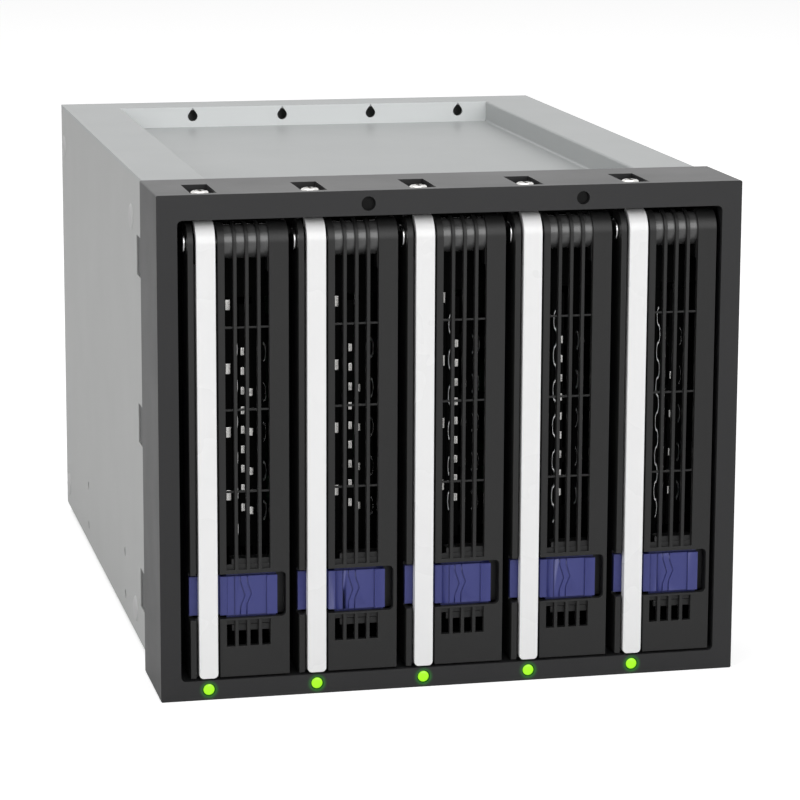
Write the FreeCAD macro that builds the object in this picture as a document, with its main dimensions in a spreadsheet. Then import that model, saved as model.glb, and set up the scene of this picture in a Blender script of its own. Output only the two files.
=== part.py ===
import FreeCAD, Part
import math
import os
import re
import Sketcher

# Hot swap drive cage: a three-bay steel cage with a moulded bezel, five upright drive trays
# whose doors swing on a top hinge and lock with a sliding latch, a socket board and a rear fan.
# +X is to the right seen from the front, +Y runs into the cage, +Z is up. The origin lies under
# the middle of the cage, on the surface that it stands on. All sizes are in millimetres.

TRAYS = 5
WINDOW_COLUMNS = 4
WINDOW_ROWS = 4
PLATE_SLOT_COLUMNS = 3
PLATE_SLOT_ROWS = 6
POWER_PINS = 4
POWER_PORTS = 2
BLADES = 7
GRILLE_RINGS = 5
GRILLE_SPOKES = (45, 135)
SNAP_ROWS = 3
AIR_SLOTS = 4
CROSSBARS = 3
THUMB_GROOVES = 3
SAME = 0.01

SIZES = {
    # bezel moulding
    "bezel_width": 149.0,
    "bezel_height": 127.5,
    "bezel_depth": 28.0,
    "bezel_sill": 5.0,
    "bezel_corner": 0.4,
    "opening_width": 138.8,
    "opening_height": 116.25,
    "opening_corner": 1.3,
    "lamp_level": 2.65,
    "lamp_radius": 1.6,
    "lamp_clearance": 0.08,
    "lamp_sink": 0.3,
    "status_sink": 1.2,
    "pocket_width": 6.5,
    "pocket_length": 15.5,
    "pocket_depth": 3.2,
    "pocket_inset": 2.6,
    "screw_inset": 8.75,
    "screw_radius": 2.85,
    "screw_height": 3.1,
    "screw_rim": 1.9,
    "screw_crown": 1.5,
    "status_offset": 32.9,
    "button_offset": -21.9,
    "button_level": 124.2,
    "button_radius": 1.72,
    "button_clearance": 0.08,
    "button_sink": 1.2,
    "button_stem": 6.5,
    "button_flange": 2.3,
    "button_flange_thickness": 1.2,
    "button_travel": 1.0,
    "plunger_radius": 0.86,
    # snap tongues between bezel and shell
    "tongue_thickness": 1.5,
    "tongue_length": 20.0,
    "window_length": 8.0,
    "window_height": 10.4,
    "window_inset": 9.5,
    "window_first": 17.8,
    "window_pitch": 44.1,
    "top_window_offset": 64.0,
    "top_window_width": 12.0,
    "top_window_length": 3.0,
    "top_window_inset": 2.0,
    "snap_clearance": 0.3,
    # folded steel shell and cover
    "shell_width": 146.0,
    "shell_length": 180.0,
    "shell_height": 125.5,
    "shell_lift": 1.0,
    "sheet": 1.0,
    "bend": 1.0,
    "cover_bend": 0.6,
    "flange_width": 16.5,
    "recess_depth": 6.1,
    "recess_rear": 14.0,
    "keyhole_radius": 1.5,
    "keyhole_drop": 2.8,
    "keyhole_tip": 2.6,
    "keyhole_shoulder": 1.2,
    "keyhole_rise": 0.9,
    "mount_radius": 1.25,
    "mount_length": 79.25,
    "mount_height": 11.84,
    "mount_inset": 47.4,
    "mount_lift": 7.0,
    "rivet_radius": 1.6,
    "rivet_head_radius": 3.4,
    "rivet_head_height": 0.6,
    "rivet_inset": 6.0,
    "rivet_front": 27.0,
    "rivet_low": 8.5,
    # trays
    "tray_pitch": 27.5,
    "tray_half_width": 12.85,
    "tray_wall": 0.8,
    "drive_height": 101.6,
    "drive_clearance": 0.2,
    "rail_height": 3.7,
    "rail_length": 151.0,
    "guide_height": 3.4,
    "guide_clearance": 0.3,
    "guide_length": 137.0,
    "guide_slot_start": 16.5,
    "guide_slot_length": 45.0,
    "guide_slot_pitch": 59.0,
    "guide_slot_width": 14.0,
    "divider_height": 3.0,
    "front_plate": 1.5,
    "front_plate_setback": 12.6,
    "sled_web": 3.7,
    "sled_post": 9.25,
    "plate_slots_height": 92.0,
    "plate_slot_width": 3.7,
    "plate_slot_web": 3.7,
    # doors
    "door_shift": 0.7,
    "door_width": 25.0,
    "door_setback": 0.6,
    "door_foot_gap": 0.5,
    "door_head_gap": 1.25,
    "door_depth": 9.4,
    "door_skin": 1.8,
    "door_wall": 0.8,
    "hinge_depth": 5.0,
    "heel_round": 3.5,
    "brow_relief": 0.2,
    "pin_radius": 1.5,
    "pin_clearance": 0.05,
    "pin_head_radius": 2.8,
    "pin_head_height": 0.7,
    "barrel_radius": 4.2,
    "barrel_gap": 0.4,
    "web_rise": 1.8,
    "web_drop": 7.2,
    "web_lap": 0.45,
    "ear_radius": 2.7,
    "ear_width": 2.2,
    "ear_reach": 14.0,
    "ear_slope": 46.0,
    "ear_gap": 1.6,
    "ear_trim": 20.0,
    "door_bar": 1.2,
    "strip_offset": -7.4,
    "strip_width": 4.7,
    "strip_thickness": 2.4,
    "strip_gap": 0.65,
    "strip_corner": 1.1,
    "channel_floor": 1.6,
    "slot_width": 2.15,
    "slot_pitch": 2.97,
    "slot_offset": -2.7,
    "slot_foot": 33.0,
    "slot_head": 121.0,
    "crossbar_pitch": 20.7,
    "crossbar_height": 0.5,
    "crossbar_setback": 1.0,
    "slot_sill": 1.2,
    "low_slot_foot": 13.3,
    "low_slot_head": 20.0,
    # latch
    "latch_travel": 2.0,
    "latch_window_foot": 20.5,
    "latch_window_head": 32.0,
    "latch_window_corner": 1.2,
    "latch_window_gap": 0.2,
    "latch_margin": 0.8,
    "latch_plate": 1.5,
    "latch_pad": 1.5,
    "latch_reach": 21.9,
    "latch_pad_left": -4.2,
    "latch_grip": 2.6,
    "latch_grip_rise": 0.5,
    "latch_hook_left": -3.0,
    "latch_hook_height": 4.0,
    "latch_stem": 2.5,
    "latch_rail": 1.6,
    "latch_rail_inset": 3.0,
    "latch_rail_length": 10.95,
    "latch_groove_pitch": 1.28,
    "latch_groove_width": 0.4,
    "latch_groove_depth": 0.4,
    "latch_clearance": 0.3,
    "keeper_plate": 1.2,
    "keeper_reach": 3.0,
    "keeper_hold": 1.6,
    "keeper_height": 7.0,
    "keeper_stand": 4.8,
    "spring_radius": 1.2,
    # socket board
    "board_thickness": 1.6,
    "board_inset": 141.0,
    "socket_length": 43.0,
    "socket_width": 6.0,
    "socket_height": 4.6,
    "socket_level": 22.0,
    "socket_slot_left": 0.6,
    "socket_slot_right": 1.2,
    "socket_slot_depth": 3.5,
    "socket_slot_inset": 6.0,
    "board_slot_width": 16.5,
    "board_slot_gap": 12.0,
    "board_slot_margin": 6.0,
    "board_side_slot": 6.0,
    "port_height": 8.0,
    "port_length": 16.6,
    "port_width": 5.6,
    "port_pitch": 18.0,
    "port_level": 17.0,
    "port_offset": 56.0,
    "power_length": 21.4,
    "power_width": 10.8,
    "power_height": 12.0,
    "power_level": 30.0,
    "power_pitch": 45.0,
    "power_pin_width": 3.0,
    "power_pin_reach": 9.0,
    "port_wall": 1.0,
    "port_floor": 2.0,
    "tongue_inset": 3.0,
    "port_window_width": 15.7,
    "port_window_margin": 2.0,
    "bracket_leaf": 6.0,
    "bracket_length": 12.0,
    "bracket_margin": 6.0,
    "board_screw_radius": 2.0,
    # rear panel and fan
    "panel_inset": 4.0,
    "fan_size": 80.0,
    "fan_depth": 25.0,
    "fan_bore": 38.0,
    "fan_hub": 17.0,
    "fan_strut": 4.0,
    "fan_back": 3.0,
    "fan_waist": 22.4,
    "fan_waist_depth": 1.2,
    "fan_hole_pitch": 71.5,
    "fan_hole_radius": 2.15,
    "fan_corner": 4.0,
    "fan_screw_head": 3.76,
    "fan_screw_height": 2.15,
    "fan_screw_length": 9.0,
    "blade_clearance": 2.8,
    "blade_sink": 0.6,
    "blade_thickness": 1.5,
    "blade_depth": 15.0,
    "blade_rise": 12.0,
    "blade_tip_rise": 22.8,
    "blade_tip_inset": 1.8,
    "rotor_depth": 20.0,
    "rotor_gap": 0.3,
    "cup_clearance": 0.5,
    "cup_chamfer": 1.5,
    "cup_wall": 1.2,
    "cup_floor": 2.0,
    "boss_radius": 3.0,
    "boss_setback": 0.5,
    "axle_reach": 2.4,
    "axle_radius": 1.5,
    "axle_clearance": 0.05,
    "grille_pitch": 6.6,
    "grille_slot": 4.6,
    "grille_bar": 5.0,
    "panel_fold": 8.0,
}

# Planes and levels that several pieces share, written from the sizes above.
FRONT = "(-(bezel_depth + shell_length) / 2)"
SEAT = "((bezel_depth - shell_length) / 2)"
REAR = "((bezel_depth + shell_length) / 2)"
OPENING_TOP = "(bezel_sill + opening_height)"
SHELL_TOP = "(shell_lift + shell_height)"
FLOOR = "(shell_lift + sheet)"
RECESS = f"({SHELL_TOP} - recess_depth)"
CEILING = f"({RECESS} - sheet)"
INNER_X = "(shell_width / 2 - sheet)"
FLANGE_X = "(shell_width / 2 - flange_width)"
LIP = f"({REAR} - recess_rear)"
FIRST_TRAY = f"(-tray_pitch * {(TRAYS - 1) / 2})"
WINDOW_FRONT = f"({SEAT} + window_inset)"

DOOR_FRONT = f"({FRONT} + door_setback)"
DOOR_LEFT = "(door_shift - door_width / 2)"
DOOR_RIGHT = "(door_shift + door_width / 2)"
DOOR_FOOT = "(bezel_sill + door_foot_gap)"
DOOR_TOP = f"({OPENING_TOP} - door_head_gap)"
DOOR_BACK = f"({DOOR_FRONT} + door_depth)"
SKIN_BACK = f"({DOOR_FRONT} + door_skin)"
HINGE_Y = f"({DOOR_FRONT} + hinge_depth)"
HINGE_Z = f"({DOOR_TOP} - hinge_depth)"
STRIP_LEFT = "(strip_offset - strip_width / 2)"
STRIP_RIGHT = "(strip_offset + strip_width / 2)"
CHANNEL_LEFT = f"({STRIP_LEFT} - strip_gap)"
CHANNEL_RIGHT = f"({STRIP_RIGHT} + strip_gap)"
CHANNEL_TOP = f"({HINGE_Z} - ear_radius - 2 * door_bar)"
STRIP_TOP = f"({HINGE_Z} + hinge_depth + door_setback)"
EAR_LEFT = f"({DOOR_LEFT} + ear_gap)"
EAR_RIGHT = f"({DOOR_RIGHT} - ear_gap - ear_width)"
LATCH_FRONT = f"({SKIN_BACK} + latch_clearance)"
LATCH_BACK = f"({LATCH_FRONT} + latch_plate)"
LATCH_LOW = "(latch_window_foot + latch_margin)"
LATCH_HIGH = "(latch_window_head - latch_margin)"
LATCH_MIDDLE = "((latch_window_foot + latch_window_head) / 2)"
LATCH_LEFT = DOOR_LEFT
LATCH_RIGHT = f"({LATCH_LEFT} + latch_reach)"
WINDOW_RIGHT = f"({LATCH_RIGHT} + latch_travel + latch_window_gap)"

GUIDE_TOP = f"({FLOOR} + guide_height)"
RAIL_FOOT = f"({GUIDE_TOP} + guide_clearance)"
DRIVE_FOOT = f"({RAIL_FOOT} + rail_height + drive_clearance)"
DRIVE_TOP = f"({DRIVE_FOOT} + drive_height)"
UPPER_RAIL = f"({DRIVE_TOP} + drive_clearance)"
RAIL_TOP = f"({UPPER_RAIL} + rail_height)"
PLATE_FRONT = f"({DOOR_FRONT} + front_plate_setback)"
PLATE_BACK = f"({PLATE_FRONT} + front_plate)"
KEEPER_FRONT = f"({PLATE_FRONT} - keeper_stand)"
BOARD_FRONT = f"({SEAT} + board_inset)"
BOARD_BACK = f"({BOARD_FRONT} + board_thickness)"
PANEL_BACK = f"({REAR} - panel_inset)"
PANEL_FRONT = f"({PANEL_BACK} - sheet)"
FAN_FRONT = f"({PANEL_FRONT} - fan_depth)"
FAN_Z = f"(({FLOOR} + {RECESS}) / 2)"

doc = FreeCAD.newDocument("drive_cage")
sheet = doc.addObject("Spreadsheet::Sheet", "Sizes")
for row, (alias, number) in enumerate(SIZES.items(), start=1):
    sheet.set(f"A{row}", alias)
    sheet.set(f"B{row}", str(number))
    sheet.setAlias(f"B{row}", alias)
doc.recompute()

nodes = {}


def formula(text):
    """Write an expression for FreeCAD, with each size's name pointing at the sheet."""
    def point(match):
        word = match.group(0)
        return f"Sizes.{word}" if word in SIZES else word
    return re.sub(r"[a-z_]+", point, text)


def number(text):
    """Give the present value of an expression."""
    return float(sheet.evalExpression(formula(text)))


def bind(thing, path, text):
    """Tie one property of an object to the sheet."""
    thing.setExpression(path, formula(text))


def keep(name, thing):
    """Name a finished sub-part, which its file takes too."""
    thing.Label = name
    nodes[name] = thing
    return thing


# ---------------------------------------------------------------- Part primitives and booleans
def box(name, low, high):
    """Make a block between two corners."""
    block = doc.addObject("Part::Box", name)
    for path, start, end in zip(("Length", "Width", "Height"), low, high):
        bind(block, path, f"({end}) - ({start})")
    for axis, start in zip("xyz", low):
        bind(block, f"Placement.Base.{axis}", start)
    return block


TURNS = {
    "X": FreeCAD.Rotation(FreeCAD.Vector(0, 1, 0), 90),
    "Y": FreeCAD.Rotation(FreeCAD.Vector(1, 0, 0), -90),
    "Z": FreeCAD.Rotation(),
}


def rod(name, axis, start, radius, length):
    """Make a cylinder that runs from a point along +X, +Y or +Z."""
    cylinder = doc.addObject("Part::Cylinder", name)
    cylinder.Placement = FreeCAD.Placement(FreeCAD.Vector(), TURNS[axis])
    bind(cylinder, "Radius", radius)
    bind(cylinder, "Height", length)
    for letter, place in zip("xyz", start):
        bind(cylinder, f"Placement.Base.{letter}", place)
    return cylinder


def fuse(name, pieces):
    """Join pieces into one solid."""
    joined = doc.addObject("Part::MultiFuse", name)
    joined.Shapes = pieces
    joined.Refine = True
    return joined


def cut(name, base, tools):
    """Take one or more tools away from a base."""
    taken = doc.addObject("Part::Cut", name)
    taken.Base = base
    taken.Tool = tools[0] if len(tools) == 1 else fuse(name + "_tools", tools)
    taken.Refine = True
    return taken


def group(name, pieces):
    """Hold several alike pieces in one sub-part."""
    held = doc.addObject("Part::Compound", name)
    held.Links = pieces
    return held


# ---------------------------------------------------------------- PartDesign helpers
def new_body(name):
    """Start a body."""
    return doc.addObject("PartDesign::Body", name)


def origin_of(body, role):
    """Find one of a body's own origin planes or axes."""
    return next(item for item in body.Origin.OriginFeatures if item.Role == role)


def sketch(body, name, plane, level):
    """Lay an empty sketch on an origin plane, moved to a level along the plane's axis."""
    drawn = body.newObject("Sketcher::SketchObject", name)
    drawn.AttachmentSupport = [(origin_of(body, plane), "")]
    drawn.MapMode = "FlatFace"
    sign = "-" if plane == "XZ_Plane" else ""
    bind(drawn, "AttachmentOffset.Base.z", f"{sign}({level})")
    return drawn


def polygon(drawn, corners):
    """Draw a closed outline through corners, each tied to the sheet."""
    points = [FreeCAD.Vector(number(x), number(y), 0) for x, y in corners]
    first = drawn.GeometryCount
    count = len(corners)
    for step in range(count):
        drawn.addGeometry(Part.LineSegment(points[step], points[(step + 1) % count]))
    for step in range(count):
        following = first + (step + 1) % count
        drawn.addConstraint(Sketcher.Constraint("Coincident", first + step, 2, following, 1))
    for step, (x, y) in enumerate(corners):
        for kind, place, text in (("DistanceX", points[step].x, x), ("DistanceY", points[step].y, y)):
            index = drawn.addConstraint(Sketcher.Constraint(kind, -1, 1, first + step, 1, place))
            bind(drawn, f"Constraints[{index}]", text)


def rectangle(drawn, x_low, x_high, y_low, y_high):
    """Draw a rectangle between four levels."""
    polygon(drawn, [(x_low, y_low), (x_high, y_low), (x_high, y_high), (x_low, y_high)])


def circle(drawn, x, y, radius):
    """Draw a circle tied to the sheet."""
    ring = Part.Circle(FreeCAD.Vector(number(x), number(y), 0), FreeCAD.Vector(0, 0, 1), number(radius))
    index = drawn.addGeometry(ring)
    for kind, place, text in (("DistanceX", number(x), x), ("DistanceY", number(y), y)):
        tie = drawn.addConstraint(Sketcher.Constraint(kind, -1, 1, index, 3, place))
        bind(drawn, f"Constraints[{tie}]", text)
    tie = drawn.addConstraint(Sketcher.Constraint("Radius", index, number(radius)))
    bind(drawn, f"Constraints[{tie}]", radius)


def pad(body, drawn, length):
    """Raise a sketch towards the positive end of its axis."""
    raised = body.newObject("PartDesign::Pad", drawn.Name + "_pad")
    raised.Profile = drawn
    bind(raised, "Length", length)
    raised.Reversed = drawn.AttachmentSupport[0][0].Role == "XZ_Plane"
    return raised


def pocket(body, drawn, length):
    """Sink a sketch towards the positive end of its axis and check that it took material away."""
    doc.recompute()
    before = body.Tip.Shape.Volume
    sunk = body.newObject("PartDesign::Pocket", drawn.Name + "_pocket")
    sunk.Profile = drawn
    bind(sunk, "Length", length)
    sunk.Reversed = drawn.AttachmentSupport[0][0].Role != "XZ_Plane"
    doc.recompute()
    if sunk.Shape.Volume >= before:
        raise ValueError(f"{sunk.Name} cuts nothing")
    return sunk


def row_of(body, feature, axis, pitch, count):
    """Repeat one feature in a row along an axis of the body."""
    repeat = body.newObject("PartDesign::LinearPattern", feature.Name + "_row")
    repeat.Originals = [feature]
    repeat.Direction = (origin_of(body, axis), [""])
    bind(repeat, "Length", f"({pitch}) * {count - 1}")
    repeat.Occurrences = count
    body.Tip = repeat
    return repeat


def mirror(body, features):
    """Repeat features on the other side of the middle plane."""
    repeat = body.newObject("PartDesign::Mirrored", features[0].Name + "_mirror")
    repeat.Originals = features
    repeat.MirrorPlane = (origin_of(body, "YZ_Plane"), [""])
    body.Tip = repeat
    return repeat


def round_edges(body, name, radius, wanted):
    """Round the edges of a body that pass a test on their middle point and direction."""
    doc.recompute()
    base = body.Tip
    names = []
    for index, edge in enumerate(base.Shape.Edges, start=1):
        if edge.Curve.TypeId != "Part::GeomLine":
            continue
        middle = edge.CenterOfMass
        along = edge.tangentAt(edge.FirstParameter)
        if wanted(middle, along, edge.Length):
            names.append(f"Edge{index}")
    if not names:
        raise ValueError(f"{name} finds no edge")
    rounded = body.newObject("PartDesign::Fillet", name)
    rounded.Base = (base, names)
    bind(rounded, "Radius", radius)
    return rounded


def near(first, second):
    """Tell whether two places are the same."""
    return abs(first - second) < SAME


def tray_column(tray):
    """Give the middle of a tray's place along X."""
    return f"({FIRST_TRAY} + {tray} * tray_pitch)"


# ---------------------------------------------------------------- the bezel
def build_bezel():
    """Mould the bezel: a deep frame with lamp bores, screw pockets and snap tongues."""
    body = new_body("bezel_frame_body")
    outline = sketch(body, "bezel_outline", "XZ_Plane", FRONT)
    rectangle(outline, "-bezel_width / 2", "bezel_width / 2", "0", "bezel_height")
    pad(body, outline, "bezel_depth")
    round_edges(body, "bezel_corners", "bezel_corner", lambda middle, along, length: abs(along.y) > 0.9)
    opening = sketch(body, "bezel_opening", "XZ_Plane", FRONT)
    rectangle(opening, "-opening_width / 2", "opening_width / 2", "bezel_sill", OPENING_TOP)
    pocket(body, opening, "bezel_depth")
    half = number("opening_width / 2")

    def opening_corner(middle, along, length):
        return abs(along.y) > 0.9 and near(abs(middle.x), half)

    round_edges(body, "opening_corners", "opening_corner", opening_corner)

    column = f"({FIRST_TRAY} + strip_offset)"
    cup = sketch(body, "screw_pocket", "XY_Plane", "bezel_height - pocket_depth")
    cup_front = f"({FRONT} + pocket_inset)"
    rectangle(cup, f"{column} - pocket_width / 2", f"{column} + pocket_width / 2",
              cup_front, f"{cup_front} + pocket_length")
    row_of(body, pocket(body, cup, "pocket_depth"), "X_Axis", "tray_pitch", TRAYS)
    lamp = sketch(body, "lamp_bore", "XZ_Plane", FRONT)
    circle(lamp, column, "lamp_level", "lamp_radius + lamp_clearance")
    row_of(body, pocket(body, lamp, "bezel_depth"), "X_Axis", "tray_pitch", TRAYS)
    status = sketch(body, "status_bore", "XZ_Plane", FRONT)
    circle(status, "status_offset", "button_level", "lamp_radius + lamp_clearance")
    pocket(body, status, "bezel_depth")
    button = sketch(body, "button_bore", "XZ_Plane", FRONT)
    circle(button, "button_offset", "button_level", "button_radius + button_clearance")
    pocket(body, button, "bezel_depth")
    chamber = sketch(body, "button_chamber", "XZ_Plane", f"{FRONT} + button_stem")
    circle(chamber, "button_offset", "button_level", "button_flange + button_clearance")
    pocket(body, chamber, "bezel_depth - button_stem")

    tongue_outer = f"({INNER_X} - snap_clearance)"
    tongue_inner = f"({tongue_outer} - tongue_thickness)"
    tongue = sketch(body, "side_tongue", "XZ_Plane", SEAT)
    rectangle(tongue, tongue_inner, tongue_outer,
              "window_first - window_height / 2 + snap_clearance",
              "window_first + window_height / 2 - snap_clearance")
    tongue_pad = pad(body, tongue, "tongue_length")
    hook = sketch(body, "side_hook", "XZ_Plane", f"{WINDOW_FRONT} + snap_clearance")
    polygon(hook, [
        (tongue_outer, "window_first - window_height / 2 + snap_clearance"),
        (f"{tongue_outer} + sheet", "window_first - window_height / 2 + snap_clearance"),
        (f"{tongue_outer} + sheet", "window_first + window_height / 2 - snap_clearance"),
        (tongue_outer, "window_first + window_height / 2 - snap_clearance"),
    ])
    hook_pad = pad(body, hook, "window_length - 2 * snap_clearance")
    rows = body.newObject("PartDesign::MultiTransform", "side_tongues")
    rows.Originals = [tongue_pad, hook_pad]
    climb = body.newObject("PartDesign::LinearPattern", "side_tongue_rows")
    climb.Direction = (origin_of(body, "Z_Axis"), [""])
    bind(climb, "Length", f"window_pitch * {SNAP_ROWS - 1}")
    climb.Occurrences = SNAP_ROWS
    across = body.newObject("PartDesign::Mirrored", "side_tongue_mirror")
    across.MirrorPlane = (origin_of(body, "YZ_Plane"), [""])
    rows.Transformations = [climb, across]
    body.Tip = rows

    roof = f"({SHELL_TOP} - sheet - snap_clearance)"
    edges = [f"top_window_offset {sign} (top_window_width / 2 - snap_clearance)" for sign in ("-", "+")]
    top_tongue = sketch(body, "top_tongue", "XZ_Plane", SEAT)
    rectangle(top_tongue, *edges, f"{roof} - tongue_thickness", roof)
    top_pad = pad(body, top_tongue, "top_window_inset + top_window_length")
    top_hook = sketch(body, "top_hook", "XZ_Plane", f"{SEAT} + top_window_inset + snap_clearance")
    rectangle(top_hook, *edges, roof, f"{roof} + sheet")
    hook_top_pad = pad(body, top_hook, "top_window_length - 2 * snap_clearance")
    mirror(body, [top_pad, hook_top_pad])
    keep("bezel_frame", body)


def build_bezel_fittings():
    """Fit the light pipes, the screws in their pockets, the status lens and the reset button."""
    pipes = []
    screws = []
    for tray in range(TRAYS):
        column = f"({tray_column(tray)} + strip_offset)"
        pipe = rod(f"light_pipe_{tray + 1}", "Y", (column, f"{FRONT} + lamp_sink", "lamp_level"),
                   "lamp_radius", "bezel_depth - 2 * lamp_sink")
        pipes.append(pipe)
        seat = (column, f"{FRONT} + screw_inset", "bezel_height - pocket_depth")
        screws.append(pan_screw(f"bezel_screw_{tray + 1}", seat))
    keep("light_pipes", group("light_pipe_set", pipes))
    keep("bezel_screws", group("bezel_screw_set", screws))
    status = rod("status_lens_rod", "Y", ("status_offset", f"{FRONT} + status_sink", "button_level"),
                 "lamp_radius", "bezel_depth - 2 * status_sink")
    keep("status_lens", status)
    flange_front = f"({FRONT} + button_stem + button_clearance)"
    stem = rod("button_stem_rod", "Y", ("button_offset", f"{FRONT} + button_sink", "button_level"),
               "button_radius", "button_stem - button_sink + button_flange_thickness / 2")
    flange = rod("button_flange_rod", "Y", ("button_offset", flange_front, "button_level"),
                 "button_flange", "button_flange_thickness")
    keep("reset_button", fuse("reset_button_body", [stem, flange]))
    reach = "(button_flange_thickness + button_travel + button_clearance)"
    plunger_front = f"({flange_front} + {reach})"
    plunger = rod("switch_plunger", "Y", ("button_offset", plunger_front, "button_level"),
                  "plunger_radius", "button_travel")
    case_front = f"({plunger_front} + button_travel / 2)"
    case = rod("switch_case", "Y", ("button_offset", case_front, "button_level"),
               "button_flange", f"{SEAT} - {case_front}")
    keep("reset_switch", fuse("reset_switch_body", [plunger, case]))


def pan_screw(name, seat):
    """Turn a pan head with its flat side down on a seat, domed on top."""
    body = new_body(name)
    profile = sketch(body, name + "_profile", "XZ_Plane", "0")
    polygon(profile, [("0", "0"), ("screw_radius", "0"), ("screw_radius", "screw_rim"),
                      ("screw_crown", "screw_height"), ("0", "screw_height")])
    turned = body.newObject("PartDesign::Revolution", name + "_turned")
    turned.Profile = profile
    turned.ReferenceAxis = (profile, ["V_Axis"])
    turned.Angle = 360
    for letter, place in zip("xyz", seat):
        bind(body, f"Placement.Base.{letter}", place)
    return body


# ---------------------------------------------------------------- folded steel
def build_shell():
    """Fold the floor and the side walls from one sheet, with snap windows and threaded mounts."""
    body = new_body("shell_body_sheet")
    wall = "shell_width / 2"
    section = sketch(body, "shell_section", "XZ_Plane", SEAT)
    roof = f"{SHELL_TOP} - sheet"
    polygon(section, [
        (f"-{wall}", "shell_lift"), (wall, "shell_lift"), (wall, roof), (INNER_X, roof),
        (INNER_X, FLOOR), (f"-{INNER_X}", FLOOR), (f"-{INNER_X}", roof), (f"-{wall}", roof),
    ])
    pad(body, section, "shell_length")
    underside = number("shell_lift")
    inner_floor = number(FLOOR)

    def outer_bend(middle, along, length):
        return abs(along.y) > 0.9 and near(middle.z, underside)

    def inner_bend(middle, along, length):
        return abs(along.y) > 0.9 and near(middle.z, inner_floor)

    round_edges(body, "shell_outer_bends", "bend + sheet", outer_bend)
    round_edges(body, "shell_inner_bends", "bend", inner_bend)
    window = sketch(body, "side_window", "YZ_Plane", f"-{wall}")
    rectangle(window, WINDOW_FRONT, f"{WINDOW_FRONT} + window_length",
              "window_first - window_height / 2", "window_first + window_height / 2")
    row_of(body, pocket(body, window, "shell_width"), "Z_Axis", "window_pitch", SNAP_ROWS)
    mounts = sketch(body, "mount_holes", "YZ_Plane", f"-{wall}")
    for along in (f"{SEAT} + mount_inset", f"{SEAT} + mount_inset + mount_length"):
        for up in ("shell_lift + mount_lift", "shell_lift + mount_lift + mount_height"):
            circle(mounts, along, up, "mount_radius")
    pocket(body, mounts, "shell_width")
    rivets = sketch(body, "rivet_holes", "YZ_Plane", f"-{wall}")
    for along, up in rivet_places():
        circle(rivets, along, up, "rivet_radius")
    pocket(body, rivets, "shell_width")
    keep("shell_body", body)


def rivet_places():
    """List where the side rivets sit, as pairs of expressions along Y and Z."""
    high = f"{RECESS} - rivet_inset"
    return [(f"{SEAT} + rivet_front", high), (f"{SEAT} + rivet_front", "shell_lift + rivet_low"),
            (f"{REAR} - rivet_inset", high), (f"{REAR} - rivet_inset", "shell_lift + rivet_low")]


def build_rivets():
    """Set flat-headed rivets through both side walls."""
    pieces = []
    for index, (along, up) in enumerate(rivet_places(), start=1):
        for side in (-1, 1):
            name = f"rivet_{index}_{'left' if side < 0 else 'right'}"
            outside = "-shell_width / 2 - rivet_head_height" if side < 0 else "shell_width / 2"
            inside = "-shell_width / 2" if side < 0 else INNER_X
            head = rod(name + "_head", "X", (outside, along, up), "rivet_head_radius", "rivet_head_height")
            shank = rod(name + "_shank", "X", (inside, along, up), "rivet_radius", "sheet")
            pieces.append(fuse(name, [head, shank]))
    keep("side_rivets", group("side_rivet_set", pieces))


def build_cover():
    """Fold the hat-shaped cover: raised flanges, a sunk middle and a lip with keyholes at the rear."""
    body = new_body("top_cover_sheet")
    wall = "shell_width / 2"
    under = f"({SHELL_TOP} - sheet)"
    outer = f"({FLANGE_X} + sheet)"
    section = sketch(body, "cover_section", "XZ_Plane", SEAT)
    right = [(FLANGE_X, RECESS), (FLANGE_X, SHELL_TOP), (wall, SHELL_TOP), (wall, under),
             (outer, under), (outer, CEILING)]
    left = [(f"-{x}", z) for x, z in reversed(right)]
    polygon(section, right + left)
    pad(body, section, "shell_length - recess_rear")
    crown = number(FLANGE_X)

    def top_bend(middle, along, length):
        return abs(along.y) > 0.9 and near(abs(middle.x), crown)

    def under_bend(middle, along, length):
        return abs(along.y) > 0.9 and near(abs(middle.x), crown + number("sheet"))

    round_edges(body, "cover_top_bends", "cover_bend", top_bend)
    round_edges(body, "cover_under_bends", "cover_bend", under_bend)
    deck = sketch(body, "rear_deck", "XZ_Plane", LIP)
    rectangle(deck, f"-{wall}", wall, under, SHELL_TOP)
    pad(body, deck, "recess_rear")
    lip = sketch(body, "rear_lip", "XZ_Plane", LIP)
    rectangle(lip, f"-{outer}", outer, CEILING, SHELL_TOP)
    pad(body, lip, "sheet")
    centre = f"({SHELL_TOP} - keyhole_drop)"
    column = f"({tray_column(1)} + strip_offset)"
    keyhole = sketch(body, "keyhole", "XZ_Plane", LIP)
    circle(keyhole, column, centre, "keyhole_radius")
    round_hole = pocket(body, keyhole, "sheet")
    tip = sketch(body, "keyhole_point", "XZ_Plane", LIP)
    polygon(tip, [(f"{column} - keyhole_shoulder", f"{centre} + keyhole_rise"),
                  (f"{column} + keyhole_shoulder", f"{centre} + keyhole_rise"),
                  (column, f"{centre} + keyhole_tip")])
    point = pocket(body, tip, "sheet")
    repeat = row_of(body, round_hole, "X_Axis", "tray_pitch", TRAYS - 1)
    repeat.Originals = [round_hole, point]
    window = sketch(body, "top_window", "XY_Plane", under)
    window_front = f"({SEAT} + top_window_inset)"
    near_edge = "top_window_offset - top_window_width / 2"
    far_edge = "top_window_offset + top_window_width / 2"
    for x_low, x_high in ((f"-({far_edge})", f"-({near_edge})"), (near_edge, far_edge)):
        rectangle(window, x_low, x_high, window_front, f"{window_front} + top_window_length")
    pocket(body, window, "sheet")
    keep("top_cover", body)


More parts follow.
